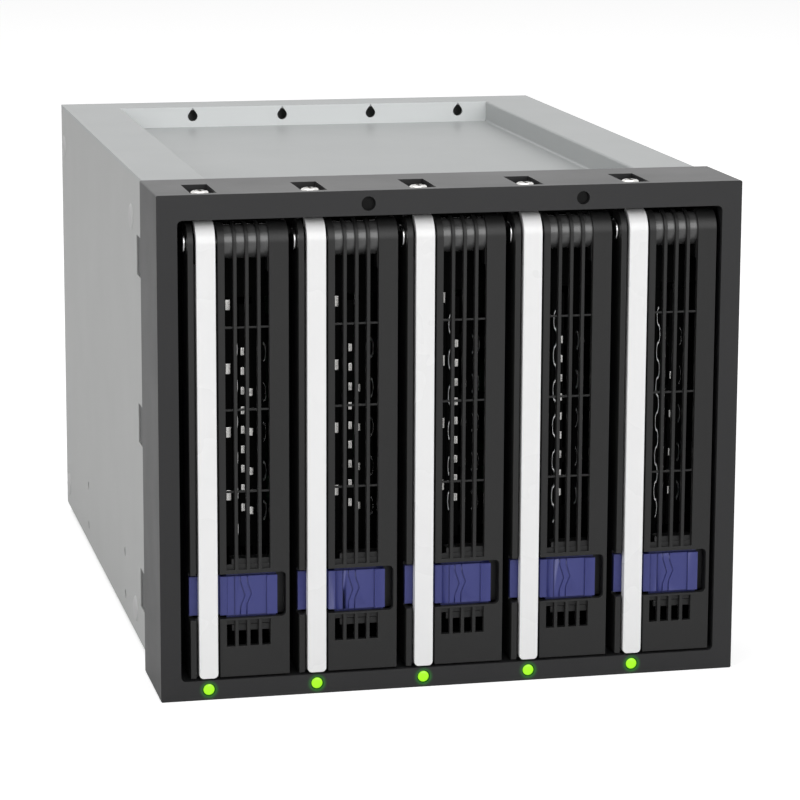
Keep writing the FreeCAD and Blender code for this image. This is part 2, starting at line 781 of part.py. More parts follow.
def build_rear_panel():
    """Punch the rear panel: the fan grille, its screw holes and the windows for the sockets."""
    foot = f"({FLOOR} + bend)"
    head = f"({SHELL_TOP} - sheet)"
    fold_front = f"({PANEL_FRONT} - panel_fold)"
    blanks = [
        box("rear_plate", (f"-{INNER_X}", PANEL_FRONT, foot), (INNER_X, PANEL_BACK, head)),
        box("rear_toe", (f"bend - {INNER_X}", PANEL_FRONT, FLOOR), (f"{INNER_X} - bend", PANEL_BACK, foot)),
        box("rear_fold_left", (f"-{INNER_X}", fold_front, foot), (f"sheet - {INNER_X}", PANEL_FRONT, head)),
        box("rear_fold_right", (f"{INNER_X} - sheet", fold_front, foot), (INNER_X, PANEL_FRONT, head)),
    ]
    start = f"({PANEL_FRONT} - sheet)"
    through = "(3 * sheet)"
    rings = []
    for ring in range(GRILLE_RINGS):
        outer = f"(fan_bore - {ring} * grille_pitch)"
        disc = rod(f"grille_ring_{ring}", "Y", ("0", start, FAN_Z), outer, through)
        core = rod(f"grille_core_{ring}", "Y", ("0", start, FAN_Z), f"{outer} - grille_slot", through)
        rings.append(cut(f"grille_slot_{ring}", disc, [core]))
    bars = []
    for index, angle in enumerate(GRILLE_SPOKES):
        bar = box(f"grille_bar_{index}", ("-fan_bore - sheet", start, f"{FAN_Z} - grille_bar / 2"),
                  ("fan_bore + sheet", f"{start} + {through}", f"{FAN_Z} + grille_bar / 2"))
        turned = group(f"grille_spoke_{index}", [bar])
        bind_turn(turned, angle)
        bars.append(turned)
    tools = [cut("grille", fuse("grille_slots", rings), bars)]
    for index, (x, z) in enumerate(fan_corners()):
        tools.append(rod(f"panel_screw_hole_{index}", "Y", (x, start, z), "fan_hole_radius", through))
    for side in (-1, 1):
        middle = f"({side} * port_offset)"
        ceiling = f"port_level + {TRAYS} * port_pitch + port_window_margin / 2"
        tools.append(box(f"socket_window_{side + 1}",
                         (f"{middle} - port_window_width / 2", start, "port_level - port_window_margin"),
                         (f"{middle} + port_window_width / 2", f"{start} + {through}", ceiling)))
    keep("rear_panel", cut("rear_panel_sheet", fuse("rear_panel_blank", blanks), tools))


def bind_turn(thing, angle):
    """Turn a piece about the fan's axis by an angle in degrees."""
    turn = FreeCAD.Rotation(FreeCAD.Vector(0, 1, 0), angle)
    thing.Placement = FreeCAD.Placement(FreeCAD.Vector(), turn)
    radians = math.radians(angle)
    bind(thing, "Placement.Base.x", f"-({FAN_Z}) * {math.sin(radians)}")
    bind(thing, "Placement.Base.z", f"({FAN_Z}) * {1 - math.cos(radians)}")


def fan_corners():
    """List the fan's four screw places as pairs of expressions along X and Z."""
    half = "fan_hole_pitch / 2"
    return [(f"{sx}{half}", f"{FAN_Z} {sz} {half}") for sx in ("-", "") for sz in ("-", "+")]


# ---------------------------------------------------------------- the fan
def build_fan_frame():
    """Mould the fan's frame: a square shroud with a round duct, four struts and a motor base."""
    body = new_body("fan_frame_body")
    half = "fan_size / 2"
    block = sketch(body, "fan_block", "XZ_Plane", FAN_FRONT)
    rectangle(block, f"-{half}", half, f"{FAN_Z} - {half}", f"{FAN_Z} + {half}")
    pad(body, block, "fan_depth")
    round_edges(body, "fan_corners", "fan_corner", lambda middle, along, length: abs(along.y) > 0.9)
    duct = sketch(body, "fan_duct", "XZ_Plane", FAN_FRONT)
    circle(duct, "0", FAN_Z, "fan_bore")
    pocket(body, duct, "fan_depth")
    holes = sketch(body, "fan_screw_holes", "XZ_Plane", FAN_FRONT)
    for x, z in fan_corners():
        circle(holes, x, z, "fan_hole_radius")
    pocket(body, holes, "fan_depth")
    waist = sketch(body, "fan_waist", "XZ_Plane", f"{FAN_FRONT} + fan_corner")
    for x_low, x_high in ((f"-{half} - sheet", f"fan_waist_depth - {half}"),
                          (f"{half} - fan_waist_depth", f"{half} + sheet")):
        rectangle(waist, x_low, x_high, f"{FAN_Z} - fan_waist", f"{FAN_Z} + fan_waist")
    pocket(body, waist, "fan_depth - 2 * fan_corner")
    strut_front = f"({PANEL_FRONT} - fan_back)"
    base = sketch(body, "motor_base", "XZ_Plane", strut_front)
    circle(base, "0", FAN_Z, "fan_hub")
    pad(body, base, "fan_back")
    struts = sketch(body, "fan_struts", "XZ_Plane", strut_front)
    bar = "fan_strut / 2"
    rectangle(struts, "-fan_bore - sheet", "fan_bore + sheet", f"{FAN_Z} - {bar}", f"{FAN_Z} + {bar}")
    pad(body, struts, "fan_back")
    upright = sketch(body, "fan_upright", "XZ_Plane", strut_front)
    reach = "(fan_bore + sheet)"
    rectangle(upright, f"-{bar}", bar, f"{FAN_Z} - {reach}", f"{FAN_Z} + {reach}")
    pad(body, upright, "fan_back")
    bearing = sketch(body, "fan_bearing", "XZ_Plane", strut_front)
    circle(bearing, "0", FAN_Z, "axle_radius + axle_clearance")
    pocket(body, bearing, "fan_back")
    keep("fan_frame", body)


def build_fan_rotor():
    """Turn the rotor's cup and axle, loft one twisted blade and repeat it round the axle."""
    body = new_body("fan_rotor_body")
    profile = sketch(body, "rotor_profile", "XY_Plane", "0")
    rim = "(fan_hub - cup_clearance)"
    end = "(rotor_depth + axle_reach)"
    boss = "(rotor_depth - boss_setback)"
    polygon(profile, [
        ("0", "0"), (f"{rim} - cup_chamfer", "0"), (rim, "cup_chamfer"), (rim, "rotor_depth"),
        (f"{rim} - cup_wall", "rotor_depth"), (f"{rim} - cup_wall", "cup_floor"),
        ("boss_radius", "cup_floor"), ("boss_radius", boss), ("axle_radius", boss), ("axle_radius", end),
        ("0", end),
    ])
    turned = body.newObject("PartDesign::Revolution", "rotor_turned")
    turned.Profile = profile
    turned.ReferenceAxis = (profile, ["V_Axis"])
    turned.Angle = 360
    front = "((rotor_depth - blade_depth) / 2)"
    root = sketch(body, "blade_root", "YZ_Plane", f"{rim} - blade_sink")
    tip = sketch(body, "blade_tip", "YZ_Plane", "fan_bore - blade_clearance")
    for drawn, inset, rise in ((root, "0", "blade_rise"), (tip, "blade_tip_inset", "blade_tip_rise")):
        low = f"({front} + {inset})"
        high = f"({front} + blade_depth - {inset})"
        polygon(drawn, [(low, f"-{rise} / 2"), (f"{low} + blade_thickness", f"-{rise} / 2"),
                        (high, f"{rise} / 2"), (f"{high} - blade_thickness", f"{rise} / 2")])
    blade = body.newObject("PartDesign::AdditiveLoft", "blade")
    blade.Profile = root
    blade.Sections = [tip]
    blade.Ruled = True
    ring = body.newObject("PartDesign::PolarPattern", "blades")
    ring.Originals = [blade]
    ring.Axis = (origin_of(body, "Y_Axis"), [""])
    ring.Angle = 360
    ring.Occurrences = BLADES
    body.Tip = ring
    bind(body, "Placement.Base.y", f"{PANEL_FRONT} - fan_back - rotor_gap - rotor_depth")
    bind(body, "Placement.Base.z", FAN_Z)
    keep("fan_rotor", body)


def build_fan_screws():
    """Drive four screws through the panel into the fan's corners."""
    screws = []
    for index, (x, z) in enumerate(fan_corners(), start=1):
        head = rod(f"fan_screw_head_{index}", "Y", (x, PANEL_BACK, z), "fan_screw_head", "fan_screw_height")
        shank = rod(f"fan_screw_shank_{index}", "Y", (x, f"{PANEL_BACK} - fan_screw_length", z),
                    "fan_hole_radius", "fan_screw_length")
        screws.append(fuse(f"fan_screw_{index}", [head, shank]))
    keep("fan_screws", group("fan_screw_set", screws))


# ---------------------------------------------------------------- the socket board
def build_board():
    """Cut the socket board with air slots between its drive sockets."""
    body = new_body("socket_board_plate")
    edge = f"({INNER_X} - snap_clearance)"
    outline = sketch(body, "board_outline", "XZ_Plane", BOARD_FRONT)
    rectangle(outline, f"-{edge}", edge, f"{GUIDE_TOP} - guide_height / 2", f"{CEILING} - snap_clearance")
    pad(body, outline, "board_thickness")
    column = tray_column(0)
    high = sketch(body, "board_high_slot", "XZ_Plane", BOARD_FRONT)
    rectangle(high, f"{column} - board_slot_width / 2", f"{column} + board_slot_width / 2",
              "socket_level + socket_length + board_slot_gap", f"{DRIVE_TOP} - board_slot_margin")
    row_of(body, pocket(body, high, "board_thickness"), "X_Axis", "tray_pitch", TRAYS)
    side = sketch(body, "board_side_slot", "XZ_Plane", BOARD_FRONT)
    between = f"({column} + tray_pitch / 2)"
    rectangle(side, f"{between} - board_side_slot / 2", f"{between} + board_side_slot / 2",
              "socket_level", "socket_level + socket_length")
    row_of(body, pocket(body, side, "board_thickness"), "X_Axis", "tray_pitch", TRAYS - 1)
    keep("socket_board", body)


def build_sockets():
    """Seat a drive socket for each tray, and the data and power ports behind the board."""
    drive = []
    data = []
    for tray in range(TRAYS):
        column = tray_column(tray)
        front = f"({BOARD_FRONT} - socket_height)"
        block = box(f"drive_socket_{tray + 1}", (f"{column} - socket_width / 2", front, "socket_level"),
                    (f"{column} + socket_width / 2", BOARD_FRONT, "socket_level + socket_length"))
        mouth = box(f"socket_slot_{tray + 1}",
                    (f"{column} - socket_slot_left", front, "socket_level + socket_slot_inset"),
                    (f"{column} + socket_slot_right", f"{front} + socket_slot_depth",
                     "socket_level + socket_length - socket_slot_inset"))
        drive.append(cut(f"drive_socket_body_{tray + 1}", block, [mouth]))
        level = f"(port_level + {tray} * port_pitch)"
        shell = port_shell(f"data_port_{tray + 1}", "port_offset", level, "port")
        tongue = box(f"data_tongue_{tray + 1}",
                     ("port_offset", f"{BOARD_BACK} + port_floor", f"{level} + tongue_inset"),
                     ("port_offset + port_wall", f"{BOARD_BACK} + port_height - port_wall",
                      f"{level} + port_length - tongue_inset"))
        data.append(fuse(f"data_port_body_{tray + 1}", [shell, tongue]))
    keep("drive_sockets", group("drive_socket_set", drive))
    keep("data_ports", group("data_port_set", data))
    power = []
    for index in range(POWER_PORTS):
        level = f"(power_level + {index} * power_pitch)"
        shell = port_shell(f"power_port_{index + 1}", "(-port_offset)", level, "power")
        pins = []
        for pin in range(POWER_PINS):
            place = f"({level} + power_length * {(pin + 0.5) / POWER_PINS})"
            pins.append(box(f"power_pin_{index + 1}_{pin + 1}",
                            ("-port_offset - power_pin_width / 2", f"{BOARD_BACK} + port_wall",
                             f"{place} - port_wall / 2"),
                            ("-port_offset + power_pin_width / 2", f"{BOARD_BACK} + power_pin_reach",
                             f"{place} + port_wall / 2")))
        power.append(fuse(f"power_port_body_{index + 1}", [shell] + pins))
    keep("power_ports", group("power_port_set", power))


def port_shell(name, middle, level, family):
    """Mould an open port housing on the board's back, from the sizes of its family."""
    left = f"{middle} - {family}_width / 2"
    right = f"{middle} + {family}_width / 2"
    head = f"{level} + {family}_length"
    back = f"({BOARD_BACK} + {family}_height)"
    outer = box(name + "_outer", (left, BOARD_BACK, level), (right, back, head))
    floor = f"{BOARD_BACK} + port_floor"
    hollow = box(name + "_mouth", (f"{left} + port_wall", floor, f"{level} + port_wall"),
                 (f"{right} - port_wall", back, f"{head} - port_wall"))
    return cut(name + "_shell", outer, [hollow])


def build_brackets():
    """Fold the two angle brackets that carry the socket board, and their screws."""
    brackets = []
    screws = []
    foot = f"({GUIDE_TOP} + bracket_margin)"
    head = f"({CEILING} - guide_height - bracket_margin)"
    back = f"({BOARD_BACK} + bracket_length)"
    for side, name in ((-1, "left"), (1, "right")):
        outer = f"({side} * {INNER_X})"
        inner = f"({side} * ({INNER_X} - sheet))"
        leaf = f"({side} * ({INNER_X} - bracket_leaf))"
        low, high = (outer, inner) if side < 0 else (inner, outer)
        wall = box(f"bracket_wall_{name}", (low, BOARD_BACK, foot), (high, back, head))
        low, high = (outer, leaf) if side < 0 else (leaf, outer)
        flange = box(f"bracket_leaf_{name}", (low, BOARD_BACK, foot), (high, f"{BOARD_BACK} + sheet", head))
        brackets.append(fuse(f"board_bracket_{name}", [wall, flange]))
        place = f"({side} * ({INNER_X} - bracket_leaf / 2 - sheet))"
        for end, level in (("low", f"{foot} + bracket_margin"), ("high", f"{head} - bracket_margin")):
            screws.append(rod(f"board_screw_{name}_{end}", "Y", (place, f"{BOARD_FRONT} - sheet", level),
                              "board_screw_radius", "sheet"))
    keep("board_brackets", group("board_bracket_set", brackets))
    keep("board_screws", group("board_screw_set", screws))


# ---------------------------------------------------------------- tray guides
def build_guide(name, low, high, rib_low, rib_high):
    """Set a guide: a plate across the cage with air slots, and a divider rib between each two trays."""
    body = new_body(name + "_body")
    side = f"({INNER_X} - 2 * snap_clearance - tongue_thickness)"
    front = f"({SEAT} + sheet)"
    outline = sketch(body, name + "_plate", "XY_Plane", low)
    rectangle(outline, f"-{side}", side, front, f"{front} + guide_length")
    pad(body, outline, f"({high}) - ({low})")
    first = tray_column(0)
    slots = []
    for place, start in (("near", "guide_slot_start"), ("far", "guide_slot_start + guide_slot_pitch")):
        slot = sketch(body, f"{name}_{place}_slot", "XY_Plane", low)
        rectangle(slot, f"{first} - guide_slot_width / 2", f"{first} + guide_slot_width / 2",
                  f"{front} + {start}", f"{front} + {start} + guide_slot_length")
        slots.append(pocket(body, slot, f"({high}) - ({low})"))
    repeat = row_of(body, slots[0], "X_Axis", "tray_pitch", TRAYS)
    repeat.Originals = slots
    gap = "(tray_pitch / 2 - tray_half_width - guide_clearance)"
    pieces = [body]
    for index in range(TRAYS + 1):
        column = f"({FIRST_TRAY} + ({index} - 0.5) * tray_pitch)"
        pieces.append(box(f"{name}_rib_{index}", (f"{column} - {gap}", f"{front} + guide_height", rib_low),
                          (f"{column} + {gap}", f"{front} + guide_length", rib_high)))
    keep(name, group(name + "_set", pieces))


# ---------------------------------------------------------------- one drive tray
def place_tray(thing, tray):
    """Move a piece, drawn about x = 0, to its tray's place."""
    bind(thing, "Placement.Base.x", tray_column(tray))


def build_sled(tray):
    """Fold the sled: a windowed side wall, a slotted front plate, two hinge ears and the keeper."""
    tag = f"_{tray + 1}"
    left = "-tray_half_width"
    right = "tray_half_width"
    wall = f"({left} + tray_wall)"
    rear = f"({PLATE_FRONT} + rail_length)"
    side = box("sled_wall" + tag, (left, PLATE_BACK, RAIL_FOOT), (wall, rear, RAIL_TOP))
    bay = f"(rail_length / {WINDOW_COLUMNS})"
    windows = []
    for column in range(WINDOW_COLUMNS):
        start = f"({PLATE_BACK} + {bay} * {column} + sled_web)"
        for level in range(WINDOW_ROWS):
            foot = f"({DRIVE_FOOT} + drive_height * {level} / {WINDOW_ROWS} + sled_web)"
            windows.append(box(f"sled_window_{column}_{level}" + tag, (f"{left} - sheet", start, foot),
                               (f"{wall} + sheet", f"{start} + {bay} - sled_post",
                                f"{foot} + drive_height / {WINDOW_ROWS} - 2 * sled_web")))
    plate = box("sled_plate" + tag, (left, PLATE_FRONT, RAIL_FOOT), (right, PLATE_BACK, RAIL_TOP))
    slots = []
    rise = f"(plate_slots_height / {PLATE_SLOT_ROWS})"
    for column in range(PLATE_SLOT_COLUMNS):
        middle = f"(slot_offset + slot_width / 2 + slot_pitch * 2 * {column})"
        for level in range(PLATE_SLOT_ROWS):
            foot = f"({DRIVE_FOOT} + {rise} * {level} + plate_slot_web / 2)"
            slots.append(box(f"plate_slot_{column}_{level}" + tag,
                             (f"{middle} - plate_slot_width / 2", f"{PLATE_FRONT} - sheet", foot),
                             (f"{middle} + plate_slot_width / 2", f"{PLATE_BACK} + sheet",
                              f"{foot} + {rise} - plate_slot_web")))
    keeper_left = "(latch_hook_left - keeper_reach)"
    keeper_low = f"({LATCH_MIDDLE} - keeper_height / 2)"
    keeper_high = f"({LATCH_MIDDLE} + keeper_height / 2)"
    face = box("keeper_face" + tag, (keeper_left, KEEPER_FRONT, keeper_low),
               ("latch_hook_left + keeper_hold", f"{KEEPER_FRONT} + keeper_plate", keeper_high))
    leg = box("keeper_leg" + tag, (keeper_left, KEEPER_FRONT, keeper_low),
              (f"{keeper_left} + keeper_plate", PLATE_FRONT, keeper_high))
    sled = group("sled_pieces" + tag, [
        cut("sled_side" + tag, side, windows),
        cut("sled_front" + tag, plate, slots),
        build_ear("left" + tag, EAR_LEFT),
        build_ear("right" + tag, EAR_RIGHT),
        fuse("keeper" + tag, [face, leg]),
    ])
    place_tray(sled, tray)
    keep(f"tray_sled_{tray + 1}", sled)


def build_rails(tray):
    """Mould the two slide rails that carry the drive and run in the guides, with weight windows."""
    tag = f"_{tray + 1}"
    wall = "(tray_wall - tray_half_width)"
    right = "tray_half_width"
    rear = f"({PLATE_FRONT} + rail_length)"
    bay = f"(rail_length / {WINDOW_COLUMNS})"
    rails = []
    spans = (("foot", RAIL_FOOT, f"{RAIL_FOOT} + rail_height"), ("head", UPPER_RAIL, RAIL_TOP))
    for name, low, high in spans:
        bar = box(f"rail_{name}" + tag, (wall, PLATE_BACK, low), (right, rear, high))
        windows = []
        for index in range(WINDOW_COLUMNS - 1):
            start = f"({PLATE_BACK} + {bay} * {index} + 2 * sled_web)"
            windows.append(box(f"rail_window_{name}_{index}" + tag,
                               (f"{wall} + sled_web", start, f"{low} - sheet"),
                               (f"{right} - sled_web", f"{start} + {bay} - 2 * sled_web", f"{high} + sheet")))
        rails.append(cut(f"slide_rail_{name}" + tag, bar, windows))
    pair = group("slide_rails" + tag, rails)
    place_tray(pair, tray)
    keep(f"tray_rails_{tray + 1}", pair)


def build_ear(name, x_low):
    """Make one hinge ear: a round eye on a leg that slopes down to the sled's front plate."""
    eye = rod("ear_eye_" + name, "X", (x_low, HINGE_Y, HINGE_Z), "ear_radius", "ear_width")
    leg = box("ear_leg_" + name, (x_low, HINGE_Y, f"{HINGE_Z} - ear_radius"),
              (f"{x_low} + ear_width", f"{HINGE_Y} + ear_reach", f"{HINGE_Z} + ear_radius"))
    radians = math.radians(SIZES["ear_slope"])
    held = group("ear_slope_" + name, [leg])
    turn = FreeCAD.Rotation(FreeCAD.Vector(1, 0, 0), -SIZES["ear_slope"])
    held.Placement = FreeCAD.Placement(FreeCAD.Vector(), turn)
    cosine = math.cos(radians)
    sine = math.sin(radians)
    bind(held, "Placement.Base.y", f"{HINGE_Y} * {1 - cosine} - {HINGE_Z} * {sine}")
    bind(held, "Placement.Base.z", f"{HINGE_Z} * {1 - cosine} + {HINGE_Y} * {sine}")
    keepout = box("ear_trim_" + name, (f"{x_low} - sheet", PLATE_FRONT, f"{HINGE_Z} - ear_trim"),
                  (f"{x_low} + ear_width + sheet", f"{PLATE_FRONT} + ear_trim", f"{HINGE_Z} + ear_trim"))
    bore = rod("ear_bore_" + name, "X", (f"{x_low} - sheet", HINGE_Y, HINGE_Z), "pin_radius + pin_clearance",
               "ear_width + 2 * sheet")
    return cut("ear_" + name, fuse("ear_blank_" + name, [eye, held]), [keepout, bore])


def build_pin(tray):
    """Turn the hinge pin, whose head stands outside the door's left side."""
    tag = f"_{tray + 1}"
    head_left = f"({DOOR_LEFT} - pin_clearance * 2 - pin_head_height)"
    head = rod("pin_head" + tag, "X", (head_left, HINGE_Y, HINGE_Z), "pin_head_radius", "pin_head_height")
    shaft = rod("pin_shaft" + tag, "X", (head_left, HINGE_Y, HINGE_Z), "pin_radius",
                f"{DOOR_RIGHT} - pin_clearance * 2 - {head_left}")
    pin = fuse("hinge_pin_turned" + tag, [head, shaft])
    place_tray(pin, tray)
    keep(f"hinge_pin_{tray + 1}", pin)


def crosswise(depth, level):
    """Make a test for edges that run along X at a depth and a level."""
    def wanted(middle, along, length):
        return abs(along.x) > 0.9 and near(middle.y, depth) and near(middle.z, level)
    return wanted


def build_door(tray):
    """Mould the door lever: a curved skin with air slots, a hinge barrel and the latch's window."""
    tag = f"_{tray + 1}"
    body = new_body("door_body" + tag)
    side = sketch(body, "door_side" + tag, "YZ_Plane", DOOR_LEFT)
    rectangle(side, DOOR_FRONT, DOOR_BACK, DOOR_FOOT, DOOR_TOP)
    pad(body, side, "door_width")
    front = number(DOOR_FRONT)
    back = number(DOOR_BACK)
    top = number(DOOR_TOP)
    round_edges(body, "door_brow" + tag, "hinge_depth", crosswise(front, top))
    round_edges(body, "door_heel" + tag, "heel_round", crosswise(back, top))
    hollow = sketch(body, "door_hollow" + tag, "YZ_Plane", f"{DOOR_LEFT} + door_bar")
    beyond = f"{DOOR_BACK} + sheet"
    above = f"{DOOR_TOP} + sheet"
    polygon(hollow, [(SKIN_BACK, f"{DOOR_FOOT} + door_skin"), (beyond, f"{DOOR_FOOT} + door_skin"),
                     (beyond, above), (HINGE_Y, above), (HINGE_Y, f"{DOOR_TOP} - door_skin"),
                     (SKIN_BACK, f"{DOOR_TOP} - door_skin")])
    pocket(body, hollow, "door_width - door_bar - door_wall")
    skin = number(SKIN_BACK)
    inner_top = number(f"{DOOR_TOP} - door_skin")
    round_edges(body, "door_inner_brow" + tag, "hinge_depth - door_skin - brow_relief",
                crosswise(skin, inner_top))

    ahead = f"{DOOR_FRONT} - sheet"
    channel = sketch(body, "strip_channel" + tag, "YZ_Plane", CHANNEL_LEFT)
    below = f"{DOOR_FOOT} - sheet"
    behind = f"{HINGE_Y} + door_bar"
    polygon(channel, [(ahead, below), (SKIN_BACK, below), (SKIN_BACK, CHANNEL_TOP), (behind, CHANNEL_TOP),
                      (behind, above), (ahead, above)])
    pocket(body, channel, f"{CHANNEL_RIGHT} - {CHANNEL_LEFT}")
    slot = sketch(body, "air_slot" + tag, "XZ_Plane", ahead)
    rectangle(slot, "slot_offset", "slot_offset + slot_width", "slot_foot", "slot_head")
    row_of(body, pocket(body, slot, f"{HINGE_Y} - ({ahead})"), "X_Axis", "slot_pitch", AIR_SLOTS)
    low_slot = sketch(body, "low_slot" + tag, "XZ_Plane", ahead)
    rectangle(low_slot, "slot_offset", "slot_offset + slot_width", "low_slot_foot", "low_slot_head")
    row_of(body, pocket(body, low_slot, f"{HINGE_Y} - ({ahead})"), "X_Axis", "slot_pitch", AIR_SLOTS)

    floor = sketch(body, "channel_floor" + tag, "XZ_Plane", SKIN_BACK)
    rectangle(floor, f"{DOOR_LEFT} + door_bar / 2", "slot_offset", DOOR_FOOT, CHANNEL_TOP)
    pad(body, floor, "channel_floor")
    bar_front = f"{DOOR_FRONT} + crossbar_setback"
    bar_depth = "door_skin - crossbar_setback"
    bar_left = "slot_offset - crossbar_height / 2"
    bar_right = f"slot_offset + {AIR_SLOTS - 1} * slot_pitch + slot_width + crossbar_height / 2"
    bar = sketch(body, "crossbar" + tag, "XZ_Plane", bar_front)
    bar_level = "(latch_window_head + crossbar_pitch)"
    rectangle(bar, bar_left, bar_right, f"{bar_level} - crossbar_height / 2",
              f"{bar_level} + crossbar_height / 2")
    row_of(body, pad(body, bar, bar_depth), "Z_Axis", "crossbar_pitch", CROSSBARS)
    sills = sketch(body, "slot_sills" + tag, "XZ_Plane", bar_front)
    rectangle(sills, bar_left, bar_right, "slot_foot - crossbar_height / 2", "slot_foot + slot_sill")
    rectangle(sills, bar_left, bar_right, "low_slot_head - slot_sill", "low_slot_head + crossbar_height / 2")
    pad(body, sills, bar_depth)
    window = sketch(body, "latch_window" + tag, "XZ_Plane", ahead)
    rectangle(window, f"{DOOR_LEFT} - sheet", WINDOW_RIGHT, "latch_window_foot", "latch_window_head")
    pocket(body, window, f"{LATCH_BACK} + latch_clearance - ({ahead})")
    window_right = number(WINDOW_RIGHT)

    def window_corner(middle, along, length):
        return abs(along.y) > 0.9 and near(middle.x, window_right)

    round_edges(body, "window_corners" + tag, "latch_window_corner", window_corner)

    barrel_left = "(slot_offset - door_bar)"
    barrel_right = f"({EAR_RIGHT} - barrel_gap)"
    barrel = sketch(body, "hinge_barrel" + tag, "YZ_Plane", barrel_left)
    circle(barrel, HINGE_Y, HINGE_Z, "barrel_radius")
    pad(body, barrel, f"{barrel_right} - {barrel_left}")
    lap = f"({SKIN_BACK} - web_lap)"
    for name, web_left in (("left", barrel_left), ("right", f"{barrel_right} - door_wall")):
        web = sketch(body, f"barrel_web_{name}" + tag, "YZ_Plane", web_left)
        rectangle(web, lap, HINGE_Y, f"{HINGE_Z} - web_drop", f"{HINGE_Z} + web_rise")
        pad(body, web, "door_wall")
    lip_front = f"{LATCH_BACK} + latch_clearance"
    lip_back = f"{lip_front} + keeper_plate"
    for name, sign, edge in (("low", "-", "latch_window_foot"), ("high", "+", "latch_window_head")):
        rail = sketch(body, f"latch_rail_{name}" + tag, "YZ_Plane", "latch_pad_left + latch_rail_inset")
        near_edge = f"{edge} {sign} latch_clearance"
        mid_edge = f"{near_edge} {sign} latch_rail"
        far_edge = f"{mid_edge} {sign} latch_rail"
        polygon(rail, [(lap, far_edge), (lip_back, far_edge), (lip_back, near_edge), (lip_front, near_edge),
                       (lip_front, mid_edge), (lap, mid_edge)])
        pad(body, rail, "latch_rail_length")
    bore = sketch(body, "pin_bore" + tag, "YZ_Plane", f"{DOOR_LEFT} - sheet")
    circle(bore, HINGE_Y, HINGE_Z, "pin_radius + pin_clearance")
    pocket(body, bore, "door_width + 2 * sheet")
    place_tray(body, tray)
    keep(f"tray_door_{tray + 1}", body)


def build_strip(tray):
    """Bend the pale handle strip over the door's brow, down to its foot."""
    tag = f"_{tray + 1}"
    body = new_body("strip_body" + tag)
    side = sketch(body, "strip_side" + tag, "YZ_Plane", STRIP_LEFT)
    rectangle(side, FRONT, HINGE_Y, DOOR_FOOT, STRIP_TOP)
    pad(body, side, "strip_width")
    front = number(FRONT)
    top = number(STRIP_TOP)
    round_edges(body, "strip_brow" + tag, "hinge_depth + door_setback - pin_clearance", crosswise(front, top))
    foot = number(DOOR_FOOT)

    def foot_corner(middle, along, length):
        return abs(along.y) > 0.9 and near(middle.z, foot)

    round_edges(body, "strip_foot" + tag, "strip_corner", foot_corner)
    hollow = sketch(body, "strip_hollow" + tag, "YZ_Plane", f"{STRIP_LEFT} - sheet")
    inner_top = f"{STRIP_TOP} - strip_thickness"
    rectangle(hollow, SKIN_BACK, f"{HINGE_Y} + sheet", f"{DOOR_FOOT} - sheet", inner_top)
    pocket(body, hollow, "strip_width + 2 * sheet")
    skin = number(SKIN_BACK)
    inside = number(inner_top)
    round_edges(body, "strip_inner_brow" + tag, "hinge_depth - door_skin - brow_relief",
                crosswise(skin, inside))
    place_tray(body, tray)
    keep(f"handle_strip_{tray + 1}", body)


def build_latch(tray):
    """Mould the sliding latch: a plate behind the strip, a thumb pad and a hook for the keeper."""
    tag = f"_{tray + 1}"
    wide_left = "(latch_pad_left + latch_pad + latch_clearance)"
    pad_front = f"({LATCH_FRONT} - latch_pad)"
    pieces = [
        box("latch_tail" + tag, (LATCH_LEFT, LATCH_FRONT, LATCH_LOW), (LATCH_RIGHT, LATCH_BACK, LATCH_HIGH)),
        box("latch_plate" + tag, (wide_left, LATCH_FRONT, "latch_window_foot - latch_rail"),
            (LATCH_RIGHT, LATCH_BACK, "latch_window_head + latch_rail")),
        box("latch_thumb" + tag, ("latch_pad_left", pad_front, LATCH_LOW),
            (LATCH_RIGHT, LATCH_FRONT, LATCH_HIGH)),
        box("latch_grip" + tag, (f"{LATCH_RIGHT} - latch_grip", f"{pad_front} - latch_grip_rise", LATCH_LOW),
            (LATCH_RIGHT, LATCH_FRONT, LATCH_HIGH)),
    ]
    hook_low = f"({LATCH_MIDDLE} - latch_hook_height / 2)"
    hook_high = f"({LATCH_MIDDLE} + latch_hook_height / 2)"
    foot_front = f"({KEEPER_FRONT} + keeper_plate + latch_clearance)"
    foot_back = f"({foot_front} + keeper_plate)"
    stem_left = "(latch_hook_left + keeper_hold + latch_clearance)"
    stem_right = f"({stem_left} + latch_stem)"
    pieces.append(box("latch_stem" + tag, (stem_left, LATCH_FRONT, hook_low),
                      (stem_right, foot_back, hook_high)))
    pieces.append(box("latch_foot" + tag, ("latch_hook_left", foot_front, hook_low),
                      (stem_right, foot_back, hook_high)))
    post_left = f"({stem_right} + latch_stem)"
    post_right = f"({post_left} + latch_pad)"
    spring_y = f"({LATCH_BACK} + latch_clearance + spring_radius)"
    pieces.append(box("spring_post" + tag, (post_left, LATCH_FRONT, f"{LATCH_HIGH} - 2 * spring_radius"),
                      (post_right, f"{spring_y} + spring_radius", LATCH_HIGH)))
    grooves = []
    for index in range(THUMB_GROOVES):
        left = f"(latch_pad_left + {index + 1} * latch_groove_pitch)"
        grooves.append(box(f"latch_groove_{index}" + tag, (left, f"{pad_front} - sheet", LATCH_LOW),
                           (f"{left} + latch_groove_width", f"{pad_front} + latch_groove_depth", LATCH_HIGH)))
    latch = cut("latch_body" + tag, fuse("latch_blank" + tag, pieces), grooves)
    place_tray(latch, tray)
    keep(f"slide_latch_{tray + 1}", latch)
    spring = rod("latch_spring_tube" + tag, "X", (post_right, spring_y, f"{LATCH_HIGH} - spring_radius"),
                 "spring_radius", f"{DOOR_RIGHT} - door_wall - {post_right}")
    bind(spring, "Placement.Base.x", f"{post_right} + {tray_column(tray)}")
    keep(f"latch_spring_{tray + 1}", spring)


